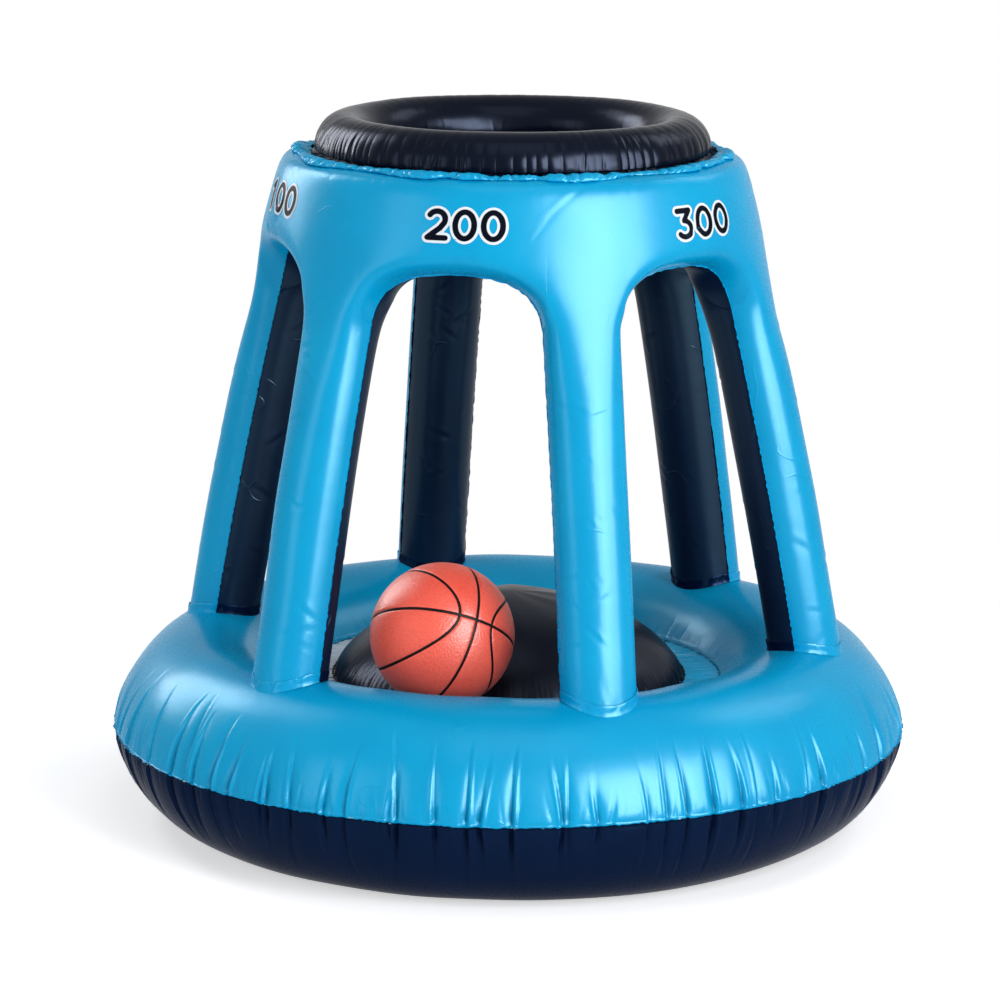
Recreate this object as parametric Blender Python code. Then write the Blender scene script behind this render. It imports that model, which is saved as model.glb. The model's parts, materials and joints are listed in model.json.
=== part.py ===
"""Inflatable pool basketball hoop. A ring-shaped float carries a cage of six legs, the cage carries a
soft rim, and a pillow floor closes the well, where a toy ball lies. Every chamber is made of welded
film skins with an air valve. Metres, +Z up, origin on the ground under the middle of the float."""

from math import asin, cos, hypot, pi, sin, sqrt

import bmesh
import bpy
import numpy as np
from mathutils import Matrix, Vector

# Film, welds and clearances
film = 0.0004
weld_gap = 0.0003
foot_gap = 0.0010
slide_gap = 0.0004
merge_distance = 0.00001
cutter_overrun = 0.004

# Base ring, the float that stands on the ground
base_radius = 0.460
base_weld = 0.005
base_scallop = 0.0012
ring_outer_width = 0.105
ring_inner_width = 0.102
ring_height = 0.2165
ring_seam_height = 0.107
floor_press = 0.002
upper_seam_roundness = 1.6
lower_seam_roundness = 1.75
crest_radius = base_radius - base_weld - ring_outer_width

# Well inside the ring, its floor sheet and the pillow dome on it
well_height = 0.158
well_weld = 0.006
trough_width = 0.046
dome_weld = 0.004
dome_height = 0.098
dome_roundness = 1.66
floor_sag = 0.070
well_radius = crest_radius - ring_inner_width
dome_radius = well_radius - trough_width

# Cage of six legs under a crown, between the ring and the rim
leg_count = 6
leg_radius = 0.041
leg_inset = 0.005
leg_bow = 0.006
cage_rise = 0.546
cage_top_radius = 0.2255
crown_height = 0.1005
arch_shoulder = 0.070
arch_squareness = 2.6
leg_swell = 0.075
outer_crown_swell = 0.036
inner_crown_swell = 0.052
swell_sharpness = 5
cuff_height = 0.010
leg_circle_radius = crest_radius - leg_inset
cage_top_height = ring_height + cage_rise
arch_height = cage_top_height - crown_height

# Rim, the soft hoop that the ball goes through
rim_half_width = 0.034
rim_rise = 0.0395
rim_drop = 0.014
rim_weld = 0.006
hem_height = 0.007
hem_lap = 0.0005
hem_reach = 0.0115
hem_ruffle = 0.0022
hem_waves = 24
rim_seam_height = cage_top_height + hem_height
rim_radius = cage_top_radius + hem_lap - rim_weld / 2 - rim_half_width

# Ball and its filling plug
ball_radius = 0.080
ball_wall = 0.0025
ball_azimuth = -5 * pi / 180
ball_hole_radius = 0.0032
ball_plug_length = 0.0065

# Air valve, the same moulding on every chamber
flange_radius = 0.012
flange_thickness = 0.001
stem_radius = 0.0068
stem_bore = 0.0045
stem_depth = 0.0110
stem_proud = 0.0012
lug_reach = 0.0125
lug_half_width = 0.0022
lug_thickness = 0.0010
plug_radius = 0.0070
plug_thickness = 0.0014
pin_radius = 0.0036
pin_length = 0.0035
skin_hole_radius = 0.0082

# Facets
ring_steps = 40
ring_upper_cells = 7
ring_lower_outer_cells = 4
ring_lower_inner_cells = 3
well_steps = 36
dome_cells = 5
floor_cells = 4
leg_cells = 3
crown_cells = 5
leg_cells_across = 4
arch_cells = 4
cage_fineness = 3
foot_steps = 16
rim_steps = 40
rim_upper_cells = 6
rim_lower_cells = 4
hem_steps = 72
ball_segments = 20
ball_rings = 12
valve_steps = 12
seating_samples = 400

# Places of the valves, in cells along each skin's rows and columns
base_valve_row_cells = ring_steps // 2
base_valve_column_cells = 3
dome_valve_row_cells = well_steps // 2
dome_valve_column_cells = 3
rim_valve_row_cells = rim_steps * 11 // 16
rim_valve_column_cells = 2
cage_valve_patch_count = 11
cage_valve_row_cells = 1
cage_valve_column_cells = 2

front = -pi / 2


def turned(radius, azimuth, height):
    """A point at an azimuth counted from the front, which is -Y, towards +X."""
    return (radius * cos(front + azimuth), radius * sin(front + azimuth), height)


def rounded(value, roundness):
    return np.sign(value) * np.abs(value) ** (2 / roundness)


def clear_scene():
    for old in list(bpy.data.objects):
        bpy.data.objects.remove(old, do_unlink=True)


def finish(name, colour, roughness, metallic=0.0, alpha=1.0):
    material = bpy.data.materials.new(name)
    material.use_nodes = True
    shader = material.node_tree.nodes["Principled BSDF"]
    shader.inputs["Base Color"].default_value = (*colour, 1)
    shader.inputs["Roughness"].default_value = roughness
    shader.inputs["Metallic"].default_value = metallic
    shader.inputs["Alpha"].default_value = alpha
    return material


def object_of(name, mesh, material):
    obj = bpy.data.objects.new(name, mesh)
    mesh.materials.append(material)
    mesh.shade_smooth()
    bpy.context.scene.collection.objects.link(obj)
    return obj


def grid_faces(rows, columns, first, closed):
    """Quads over a grid of points stored row by row, wrapping round when the rows close."""
    faces = []
    for i in range(rows if closed else rows - 1):
        for j in range(columns - 1):
            a = first + i * columns + j
            b = first + (i + 1) % rows * columns + j
            faces.append((a, b, b + 1, a + 1))
    return faces


def sheet_mesh(name, patches, closed=False, flipped=False):
    """One mesh from grids of points, joined where their borders coincide. A row of equal points,
    such as the pole of a turned sheet, closes to a single point."""
    points, faces = [], []
    for patch in patches:
        rows, columns = len(patch), len(patch[0])
        faces += grid_faces(rows, columns, len(points), closed)
        points += [tuple(point) for row in patch for point in row]
    mesh = bpy.data.meshes.new(name)
    mesh.from_pydata(points, [], [face[::-1] if flipped else face for face in faces])
    shaped = bmesh.new()
    shaped.from_mesh(mesh)
    bmesh.ops.remove_doubles(shaped, verts=shaped.verts, dist=merge_distance)
    shaped.to_mesh(mesh)
    shaped.free()
    return mesh


def thicken(obj, wall):
    """Gives an open sheet its wall, on the side that its normals turn away from."""
    solid = obj.modifiers.new("wall", "SOLIDIFY")
    solid.thickness = wall
    solid.offset = -1
    return obj


def turned_sheet(name, profile, steps, material, wall=film, flipped=False):
    """A sheet of film turned round the vertical axis, from (radius, height) points."""
    rows = [
        [turned(radius, 2 * pi * i / steps, height) for radius, height in profile]
        for i in range(steps)
    ]
    mesh = sheet_mesh(name, [rows], closed=True, flipped=flipped)
    return thicken(object_of(name, mesh, material), wall)


def cut(obj, cutter):
    difference = obj.modifiers.new("hole", "BOOLEAN")
    difference.operation = "DIFFERENCE"
    difference.object = cutter
    cutter.hide_render = True
    cutter.display_type = "WIRE"


def lathe(name, profile, steps, material, closed_profile=True):
    """A solid turned round local Z from (radius, height) points, with its faces turned outwards."""
    shaped = bmesh.new()
    verts = [shaped.verts.new((radius, 0, height)) for radius, height in profile]
    edges = [shaped.edges.new(pair) for pair in zip(verts, verts[1:])]
    if closed_profile:
        edges.append(shaped.edges.new((verts[-1], verts[0])))
    bmesh.ops.spin(
        shaped,
        geom=verts + edges,
        cent=(0, 0, 0),
        axis=(0, 0, 1),
        angle=2 * pi,
        steps=steps,
        use_merge=True,
    )
    bmesh.ops.remove_doubles(shaped, verts=shaped.verts, dist=merge_distance)
    bmesh.ops.recalc_face_normals(shaped, faces=shaped.faces)
    mesh = bpy.data.meshes.new(name)
    shaped.to_mesh(mesh)
    shaped.free()
    return object_of(name, mesh, material)


# Base ring


ring_outer_reach = base_radius - base_weld - crest_radius
ring_rise = ring_height - ring_seam_height
ring_drop = ring_seam_height + floor_press
well_seam_sine = (well_height - ring_seam_height) / ring_rise
ring_inner_reach = (crest_radius - well_radius) / sqrt(1 - well_seam_sine**2)
well_seam_angle = pi - asin(well_seam_sine)


def ring_point(angle):
    """The ring's cross-section: drawn to a lens by the outer weld, round inside the well, and
    pressed flat where it stands."""
    outside = cos(angle) >= 0
    above = sin(angle) >= 0
    roundness = (upper_seam_roundness if above else lower_seam_roundness) if outside else 2
    radius = crest_radius + (ring_outer_reach if outside else ring_inner_reach) * cos(angle)
    climb = float(rounded(sin(angle), roundness))
    return radius, max(ring_seam_height + (ring_rise if above else ring_drop) * climb, 0)


def ring_top(radius):
    """Height of the ring's upper skin at this radius, near the crest."""
    reach = ring_outer_reach if radius > crest_radius else ring_inner_reach
    roundness = upper_seam_roundness if radius > crest_radius else 2
    share = min(abs(radius - crest_radius) / reach, 1)
    return ring_seam_height + ring_rise * (1 - share**2) ** (1 / roundness)


def ring_upper_profile(cells):
    """From the outer weld over the crest to the well's weld."""
    lip = ring_seam_height + film + weld_gap / 2
    well_lip = well_height + film / 2 + weld_gap + film
    arc = [ring_point(well_seam_angle * i / cells) for i in range(cells + 1)]
    arc[0] = (base_radius - base_weld, lip)
    arc[-1] = (well_radius, well_lip)
    return [(base_radius, lip), *arc, (well_radius - well_weld, well_lip)]


def ring_lower_profile(outer_cells, inner_cells):
    """From the outer weld down to the pressed flat and up to the well's weld."""
    lip = ring_seam_height - film - weld_gap / 2
    well_lip = well_height - film / 2 - weld_gap - film
    press_angle = asin((ring_seam_height / ring_drop) ** (lower_seam_roundness / 2))
    inner_press_angle = asin(ring_seam_height / ring_drop)
    outer = [ring_point(-press_angle * i / outer_cells) for i in range(outer_cells + 1)]
    inner_start = -(pi - inner_press_angle)
    inner_end = well_seam_angle - 2 * pi
    inner = [
        ring_point(inner_start + (inner_end - inner_start) * i / inner_cells)
        for i in range(inner_cells + 1)
    ]
    outer[0] = (base_radius - base_weld, lip)
    outer[-1] = (outer[-1][0], 0)
    inner[0] = (inner[0][0], 0)
    inner[-1] = (well_radius, well_lip)
    return [(base_radius, lip), *outer, *inner, (well_radius - well_weld, well_lip)]


def scalloped(profile, steps):
    """Rows of a turned sheet whose weld edge, its first point, draws in at every other step."""
    rows = []
    for i in range(steps):
        edge_radius = profile[0][0] - base_scallop * (i % 2)
        points = [(edge_radius, profile[0][1]), *profile[1:]]
        rows.append([turned(r, 2 * pi * i / steps, z) for r, z in points])
    return rows


def base_ring(blue, navy):
    upper = scalloped(ring_upper_profile(ring_upper_cells), ring_steps)
    lower_profile = ring_lower_profile(ring_lower_outer_cells, ring_lower_inner_cells)
    lower = scalloped(lower_profile, ring_steps)
    upper_mesh = sheet_mesh("base_ring_upper_skin", [upper], closed=True)
    lower_mesh = sheet_mesh("base_ring_lower_skin", [lower], closed=True, flipped=True)
    upper_skin = thicken(object_of("base_ring_upper_skin", upper_mesh, blue), film)
    thicken(object_of("base_ring_lower_skin", lower_mesh, navy), film)
    return upper_skin, upper


# Well floor and dome


def dome_top(radius):
    share = min(radius / dome_radius, 1)
    return well_height + film + dome_height * (1 - share**dome_roundness) ** (1 / dome_roundness)


def dome_profile(cells):
    lip = well_height + film / 2 + weld_gap + film
    points = [(dome_radius + dome_weld, lip)]
    for i in range(cells + 1):
        angle = pi / 2 * i / cells
        radius = dome_radius * float(rounded(cos(angle), dome_roundness)) if i < cells else 0
        points.append((radius, max(dome_top(radius), lip)))
    return points


def floor_profile(cells):
    top = well_height + film / 2
    points = [(well_radius - weld_gap, top)]
    for i in range(cells + 1):
        angle = pi / 2 * i / cells
        radius = dome_radius * float(rounded(cos(angle), dome_roundness)) if i < cells else 0
        points.append((radius, top - floor_sag * float(rounded(sin(angle), dome_roundness))))
    return points


def well(floor_blue, black):
    turned_sheet("well_floor_sheet", floor_profile(floor_cells), well_steps, floor_blue)
    profile = dome_profile(dome_cells)
    dome = turned_sheet("dome_upper_skin", profile, well_steps, black)
    rows = [
        [turned(radius, 2 * pi * i / well_steps, height) for radius, height in profile]
        for i in range(well_steps)
    ]
    return dome, rows


# Cage


def meridian(share):
    """Radius and height of the cage's middle surface, and the share that its normal turns up."""
    radius = leg_circle_radius + (cage_top_radius - leg_circle_radius) * share
    radius += 4 * leg_bow * share * (1 - share)
    lean = cage_top_radius - leg_circle_radius + 4 * leg_bow * (1 - 2 * share)
    length = hypot(lean, cage_rise)
    return radius, ring_height + cage_rise * share, cage_rise / length, -lean / length


def cage_point(azimuth, share, offset):
    radius, height, outward, upward = meridian(share)
    return turned(radius + outward * offset, azimuth, height + upward * offset)


def half_leg_grid(fineness):
    """(azimuth from the leg, share of the meridian) over half a leg and its part of the crown. The
    columns run from the middle of the leg to its weld edge and on to the middle of the arch. The
    rows climb the leg and then the crown, where they lie level from the second cell up to the top
    weld. Below the arch only the leg's columns are used."""
    arch_start = (arch_height - arch_shoulder - ring_height) / cage_rise
    arch_top = (arch_height - ring_height) / cage_rise
    half_sector = pi / leg_count
    up_leg, up_crown, across, along_arch = cage_cells(fineness)
    climbs = [(1 - cos(pi * i / up_crown)) / 2 for i in range(up_crown + 1)]
    first_level = min(2 * fineness, up_crown)
    grid = np.zeros((up_leg + up_crown + 1, across + along_arch + 1, 2))
    for i in range(up_leg + up_crown + 1):
        share = arch_start * min(i / up_leg, 1)
        leg_edge = leg_radius / meridian(share)[0]
        row = max(i - up_leg, 0)
        level = arch_top + (1 - arch_top) * climbs[max(row, first_level)]
        over_leg = min(row / first_level, 1)
        over_arch = min(climbs[row] / climbs[first_level], 1)
        for j in range(across + 1):
            grid[i, j] = leg_edge * sin(pi / 2 * j / across), share + (level - share) * over_leg
        for j in range(1, along_arch + 1):
            bend = pi / 2 * j / along_arch
            swing = 1 - float(rounded(cos(bend), arch_squareness)) if j < along_arch else 1
            arch = share + arch_shoulder / cage_rise * float(rounded(sin(bend), arch_squareness))
            azimuth = leg_edge + (half_sector - leg_edge) * swing
            grid[i, across + j] = azimuth, arch + (level - arch) * over_arch
    return grid


def cage_cells(fineness):
    counts = (leg_cells, crown_cells, leg_cells_across, arch_cells)
    return [count * fineness for count in counts]


def inflated(grid, up_leg, across):
    """How far two skins welded round this panel stand off its middle surface under pressure. The
    square of that height is the membrane equation's, solved with one value at each grid point."""
    rows, columns = grid.shape[:2]
    rise = hypot(cage_rise, cage_top_radius - leg_circle_radius)
    radii = np.vectorize(lambda share: meridian(share)[0])(grid[..., 1])
    flat = np.stack([grid[..., 0] * radii, grid[..., 1] * rise], -1).reshape(-1, 2)
    index = np.arange(rows * columns).reshape(rows, columns)
    cells = np.ones((rows - 1, columns - 1), bool)
    cells[:up_leg, across:] = False
    corners = (index[:-1, :-1], index[1:, :-1], index[1:, 1:], index[:-1, 1:])
    faces = np.stack([corner[cells] for corner in corners], -1)
    triangles = np.concatenate([faces[:, [0, 1, 2]], faces[:, [0, 2, 3]]])
    a, b, c = (flat[triangles[:, k]] for k in range(3))
    sides = np.stack([c - b, a - c, b - a], 1)
    area = np.abs(sides[:, 0, 0] * sides[:, 1, 1] - sides[:, 0, 1] * sides[:, 1, 0]) / 2
    stiffness = np.zeros((len(flat), len(flat)))
    load = np.zeros(len(flat))
    for m in range(3):
        np.add.at(load, triangles[:, m], area / 3)
        for n in range(3):
            part = (sides[:, m] * sides[:, n]).sum(1) / (4 * area)
            np.add.at(stiffness, (triangles[:, m], triangles[:, n]), part)
    welded = np.concatenate([index[: up_leg + 1, across], index[up_leg, across:], index[-1]])
    free = np.setdiff1d(faces, welded)
    height = np.zeros(len(flat))
    height[free] = np.linalg.solve(stiffness[np.ix_(free, free)], load[free])
    return np.sqrt(2 * np.maximum(height, 0)).reshape(rows, columns)


def seated_share(azimuth, offset, lift):
    """The share of the meridian, near zero, where this line down a leg is lift above the ring."""
    share = 0
    for _ in range(12):
        point = cage_point(azimuth, share, offset)
        gap = point[2] - ring_top(hypot(point[0], point[1])) - lift
        share -= gap / cage_rise
    return share


def leg_azimuth(k):
    return 2 * pi * (k + 1 / 2) / leg_count


def held_in(bulge, shares, crown_swell):
    """Film doesn't stretch, so the wide crown swells less than the membrane would. The most that a
    skin can stand off falls from the legs' value, half way up them, to the crown's."""
    arch_start = (arch_height - arch_shoulder - ring_height) / cage_rise
    in_crown = np.clip(2 * shares / arch_start - 1, 0, 1)
    most = leg_swell + (crown_swell - leg_swell) * in_crown
    return bulge / (1 + (bulge / most) ** swell_sharpness) ** (1 / swell_sharpness)


def cage_patches(side):
    """The outer skin, side 1, or the inner skin, side -1, as twelve half legs, each of them a strip
    from foot to top weld and a block of the crown over half an arch."""
    grid = half_leg_grid(cage_fineness)
    up_leg, _, across, _ = cage_cells(cage_fineness)
    bulge = inflated(grid, up_leg, across)[::cage_fineness, ::cage_fineness]
    grid = grid[::cage_fineness, ::cage_fineness]
    crown_swell = outer_crown_swell if side > 0 else inner_crown_swell
    bulge = held_in(bulge, grid[..., 1], crown_swell)
    lift = foot_gap + film + weld_gap
    patches = []
    for k in range(leg_count):
        for hand in (-1, 1):
            rows = []
            for i, row in enumerate(grid):
                points = []
                for j, (swing, share) in enumerate(row):
                    azimuth = leg_azimuth(k) + hand * swing
                    offset = side * (weld_gap + bulge[i, j])
                    if i == 0:
                        share = seated_share(azimuth, offset, lift)
                    points.append(cage_point(azimuth, share, offset))
                rows.append(points)
            strip = [row[: leg_cells_across + 1] for row in rows]
            block = [row[leg_cells_across:] for row in rows[leg_cells:]]
            for patch in (strip, block):
                patches.append(patch if hand * side < 0 else patch[::-1])
    return patches


def cage_skin(name, side, material):
    patches = cage_patches(side)
    mesh = sheet_mesh(name, patches)
    return thicken(object_of(name, mesh, material), film), patches


def leg_foot(k, material):
    """The patch that closes a leg and welds it to the ring, with a cuff round the leg's end."""
    name = f"leg_foot_{k + 1}"
    radius = leg_radius + 2 * weld_gap + film
    radius_shares = (0, 0.5, 1)
    rows = []
    for i in range(foot_steps):
        angle = 2 * pi * i / foot_steps
        row = []
        for radius_share in radius_shares:
            reach = radius * radius_share
            azimuth = leg_azimuth(k) + reach * cos(angle) / leg_circle_radius
            offset = reach * sin(angle)
            share = seated_share(azimuth, offset, foot_gap)
            row.append(cage_point(azimuth, share, offset))
        row.append(cage_point(azimuth, share + cuff_height / cage_rise, offset))
        rows.append(row)
    mesh = sheet_mesh(name, [rows], closed=True, flipped=True)
    return thicken(object_of(name, mesh, material), film)


# Rim


def rim_profile(above, cells):
    """Half of the rim's oval section, with the weld margin that stands out all round it."""
    seam = rim_seam_height + (film + weld_gap / 2) * (1 if above else -1)
    depth = rim_rise if above else -rim_drop
    points = [(rim_radius + rim_half_width + rim_weld, seam)]
    for i in range(cells + 1):
        angle = pi * i / cells
        height = seam + depth * sin(angle) if 0 < i < cells else seam
        points.append((rim_radius + rim_half_width * cos(angle), height))
    return points


def rim(black):
    profile = rim_profile(True, rim_upper_cells)
    upper = turned_sheet("rim_upper_skin", profile, rim_steps, black)
    lower_profile = rim_profile(False, rim_lower_cells)
    turned_sheet("rim_lower_skin", lower_profile, rim_steps, black, flipped=True)
    rows = [
        [turned(radius, 2 * pi * i / rim_steps, height) for radius, height in profile]
        for i in range(rim_steps)
    ]
    return upper, rows


def joining_hem(blue):
    """The ruffled strip that joins the cage's top weld to the margin round the rim."""
    margin = rim_seam_height - film - weld_gap / 2 - weld_gap
    inner = rim_radius + rim_half_width + rim_weld / 2
    rows = []
    for i in range(hem_steps):
        turn = 2 * pi * i / hem_steps
        ruffle = hem_ruffle * (1 + sin(hem_waves * turn) + sin(turn * hem_waves / 3) / 2)
        points = (
            (inner, cage_top_height + weld_gap + film),
            (inner + rim_weld / 4, margin),
            (inner + hem_reach, margin - hem_ruffle / 2 + ruffle / 2),
        )
        rows.append([turned(radius, turn, height) for radius, height in points])
    mesh = sheet_mesh("rim_joining_hem", [rows], closed=True, flipped=True)
    return thicken(object_of("rim_joining_hem", mesh, blue), film)


# Valves


def facet_frame(patch, i, j):
    """A frame on the middle of one facet of a grid: Z out of the skin, X along its rows. It stands
    on the highest corner, which on a twisted facet is a little off the middle."""
    here, beside = patch[i % len(patch)], patch[(i + 1) % len(patch)]
    corners = [Vector(row[column]) for row in (here, beside) for column in (j, j + 1)]
    along = (corners[2] + corners[3] - corners[0] - corners[1]).normalized()
    across = corners[1] + corners[3] - corners[0] - corners[2]
    outward = along.cross(across).normalized()
    middle = sum(corners, Vector()) / len(corners)
    middle += outward * max((corner - middle).dot(outward) for corner in corners)
    turn = Matrix((along, outward.cross(along), outward)).transposed().to_4x4()
    return Matrix.Translation(middle) @ turn


def union(obj, other):
    joined = obj.modifiers.new("joined", "BOOLEAN")
    joined.operation = "UNION"
    joined.object = other
    other.hide_render = True
    other.display_type = "WIRE"


def block(name, low, high, material):
    shaped = bmesh.new()
    bmesh.ops.create_cube(shaped, size=1)
    for vert in shaped.verts:
        vert.co = [
            low[axis] if vert.co[axis] < 0 else high[axis] for axis in range(3)
        ]
    mesh = bpy.data.meshes.new(name)
    shaped.to_mesh(mesh)
    shaped.free()
    return object_of(name, mesh, material)


def air_valve(name, skin, frame, clear_vinyl):
    """A welded flange, a stem that pushes in through it, and a plug on a strap, which turns at the
    end of the stem's lug."""
    flange_top = weld_gap + flange_thickness
    stem_top = flange_top + stem_proud
    opening = stem_radius + slide_gap
    flange = lathe(
        name + "_valve_flange",
        [
            (opening, weld_gap),
            (flange_radius, weld_gap),
            (flange_radius - flange_thickness / 2, flange_top),
            (opening, flange_top),
        ],
        valve_steps,
        clear_vinyl,
    )
    stem = lathe(
        name + "_valve_stem",
        [
            (stem_bore, stem_top - stem_depth),
            (stem_radius, stem_top - stem_depth),
            (stem_radius, stem_top),
            (stem_bore, stem_top),
        ],
        valve_steps,
        clear_vinyl,
    )
    lug = block(
        name + "_lug_shape",
        ((stem_bore + stem_radius) / 2, -lug_half_width, stem_top - lug_thickness),
        (lug_reach, lug_half_width, stem_top),
        clear_vinyl,
    )
    union(stem, lug)
    plug_low = stem_top + weld_gap
    plug = lathe(
        name + "_valve_plug",
        [
            (0, stem_top - pin_length),
            (pin_radius, stem_top - pin_length),
            (pin_radius, plug_low),
            (plug_radius, plug_low),
            (plug_radius - plug_thickness / 2, plug_low + plug_thickness),
            (0, plug_low + plug_thickness),
        ],
        valve_steps,
        clear_vinyl,
        closed_profile=False,
    )
    strap = block(
        name + "_strap_shape",
        (plug_radius - plug_thickness, -lug_half_width, plug_low),
        (lug_reach, lug_half_width, plug_low + plug_thickness / 2),
        clear_vinyl,
    )
    union(plug, strap)
    hole = lathe(
        name + "_hole_shape",
        [
            (0, -cutter_overrun),
            (skin_hole_radius, -cutter_overrun),
            (skin_hole_radius, cutter_overrun),
            (0, cutter_overrun),
        ],
        valve_steps,
        clear_vinyl,
        closed_profile=False,
    )
    for piece in (flange, stem, lug, hole):
        piece.matrix_world = frame
    hinge = Matrix.Translation((lug_reach, 0, stem_top))
    for piece in (plug, strap):
        piece.data.transform(hinge.inverted())
        piece.matrix_world = frame @ hinge
    cut(skin, hole)


# Ball


def ball_rest():
    """Radius and height of the ball's middle where it lies between the dome and the ring's wall."""
    reach = ball_radius + weld_gap
    angles = np.linspace(pi / 2, well_seam_angle, seating_samples)
    wall = np.array([ring_point(float(angle)) for angle in angles])
    hill_radii = np.linspace(0, dome_radius, seating_samples)
    hill = np.array([(radius, dome_top(float(radius))) for radius in hill_radii])
    curve = np.concatenate([wall, hill])
    best = None
    for radius in np.linspace(dome_radius / 2, crest_radius, seating_samples):
        beside = np.abs(curve[:, 0] - radius)
        under = curve[beside < reach]
        height = (under[:, 1] + np.sqrt(reach**2 - (under[:, 0] - radius) ** 2)).max()
        if best is None or height < best[1]:
            best = (float(radius), float(height))
    return best


def ball(orange, black):
    radius, height = ball_rest()
    middle = Vector(turned(radius, ball_azimuth, height))
    shaped = bmesh.new()
    bmesh.ops.create_uvsphere(
        shaped, u_segments=ball_segments, v_segments=ball_rings, radius=ball_radius
    )
    mesh = bpy.data.meshes.new("ball_skin")
    shaped.to_mesh(mesh)
    shaped.free()
    skin = thicken(object_of("ball_skin", mesh, orange), ball_wall)
    # The filling plug points away from the front and down, where a hand finds it when it is turned.
    frame = Matrix.Translation(middle) @ Matrix.Rotation(pi - pi / 4, 4, "X")
    hole = lathe(
        "ball_hole_shape",
        [
            (0, ball_radius - ball_wall - cutter_overrun),
            (ball_hole_radius, ball_radius - ball_wall - cutter_overrun),
            (ball_hole_radius, ball_radius + cutter_overrun),
            (0, ball_radius + cutter_overrun),
        ],
        valve_steps,
        orange,
        closed_profile=False,
    )
    outside = ball_radius * cos(pi / 2 / ball_rings) - weld_gap
    plug = lathe(
        "ball_filling_plug",
        [
            (0, outside - ball_plug_length),
            (ball_hole_radius - slide_gap, outside - ball_plug_length),
            (ball_hole_radius - slide_gap, outside),
            (0, outside),
        ],
        valve_steps,
        black,
        closed_profile=False,
    )
    for piece in (skin, hole, plug):
        piece.matrix_world = frame
    cut(skin, hole)


def main():
    clear_scene()
    blue = finish("light_blue_vinyl", (0.01, 0.37, 0.72), 0.34)
    navy = finish("navy_vinyl", (0.008, 0.014, 0.055), 0.30)
    black = finish("black_vinyl", (0.008, 0.009, 0.016), 0.30)
    floor_blue = finish("floor_film", (0.03, 0.42, 0.70), 0.35)
    clear_vinyl = finish("clear_vinyl", (0.75, 0.80, 0.84), 0.25)
    orange = finish("ball_rubber", (0.85, 0.09, 0.03), 0.55)

    ring_skin, ring_rows = base_ring(blue, navy)
    dome_skin, dome_rows = well(floor_blue, black)
    outer_skin, outer_patches = cage_skin("cage_outer_skin", 1, blue)
    cage_skin("cage_inner_skin", -1, navy)
    for k in range(leg_count):
        leg_foot(k, blue)
    rim_skin, rim_rows = rim(black)
    joining_hem(blue)

    cage_rows = outer_patches[cage_valve_patch_count]
    base_place = facet_frame(ring_rows, base_valve_row_cells, base_valve_column_cells)
    dome_place = facet_frame(dome_rows, dome_valve_row_cells, dome_valve_column_cells)
    cage_place = facet_frame(cage_rows, cage_valve_row_cells, cage_valve_column_cells)
    rim_place = facet_frame(rim_rows, rim_valve_row_cells, rim_valve_column_cells)
    air_valve("base", ring_skin, base_place, clear_vinyl)
    air_valve("dome", dome_skin, dome_place, clear_vinyl)
    air_valve("cage", outer_skin, cage_place, clear_vinyl)
    air_valve("rim", rim_skin, rim_place, clear_vinyl)
    ball(orange, black)


main()
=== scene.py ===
"""The look of the inflatable pool basketball hoop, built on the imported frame. Metres, +Z up, with
azimuths counted from the front, which is -Y, towards +X."""

import json
from math import asin, cos, hypot, pi, radians, sin, sqrt

import bmesh
import bpy
import numpy as np
from mathutils import Matrix, Vector
from mathutils.bvhtree import BVHTree

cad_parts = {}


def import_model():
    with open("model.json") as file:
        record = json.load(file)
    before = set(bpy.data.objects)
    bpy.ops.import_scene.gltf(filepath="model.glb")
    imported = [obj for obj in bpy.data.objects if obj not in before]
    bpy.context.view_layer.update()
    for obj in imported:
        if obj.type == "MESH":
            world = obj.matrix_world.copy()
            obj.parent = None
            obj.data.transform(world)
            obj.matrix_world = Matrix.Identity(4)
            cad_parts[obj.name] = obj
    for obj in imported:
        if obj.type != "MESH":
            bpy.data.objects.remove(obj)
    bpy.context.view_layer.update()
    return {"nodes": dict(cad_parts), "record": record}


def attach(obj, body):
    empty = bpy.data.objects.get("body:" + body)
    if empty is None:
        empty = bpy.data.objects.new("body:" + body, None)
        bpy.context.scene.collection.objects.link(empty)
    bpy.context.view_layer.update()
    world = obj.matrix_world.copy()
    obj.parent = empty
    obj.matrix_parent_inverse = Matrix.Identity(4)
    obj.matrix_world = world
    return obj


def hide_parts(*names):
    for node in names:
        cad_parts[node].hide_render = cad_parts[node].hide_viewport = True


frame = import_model()

# Sizes of the solids, repeated from the part's source
film = 0.0004
weld_gap = 0.0003
foot_gap = 0.0010
base_radius = 0.460
base_weld = 0.005
crest_radius = 0.350
ring_height = 0.2165
ring_seam_height = 0.107
floor_press = 0.002
upper_seam_roundness = 1.6
lower_seam_roundness = 1.75
well_radius = 0.248
well_height = 0.158
well_weld = 0.006
dome_radius = 0.202
dome_weld = 0.004
dome_height = 0.098
dome_roundness = 1.66
floor_sag = 0.070
leg_count = 6
leg_radius = 0.041
leg_circle_radius = 0.345
leg_bow = 0.006
cage_rise = 0.546
cage_top_radius = 0.2255
cage_top_height = 0.7625
arch_height = 0.662
arch_shoulder = 0.070
arch_squareness = 2.6
leg_swell = 0.075
outer_crown_swell = 0.036
inner_crown_swell = 0.052
swell_sharpness = 5
rim_radius = 0.189
rim_half_width = 0.034
rim_seam_height = 0.7695
rim_rise = 0.0395
rim_drop = 0.014
ball_radius = 0.080
ball_middle = Vector((-0.01995, -0.22806, 0.25647))
flange_radius = 0.012
flange_thickness = 0.001
stem_radius = 0.0068
stem_bore = 0.0045
stem_depth = 0.0110
stem_proud = 0.0012
lug_reach = 0.0125
lug_half_width = 0.0022
lug_thickness = 0.0010
plug_radius = 0.0070
plug_thickness = 0.0014
pin_radius = 0.0036
pin_length = 0.0035
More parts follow.
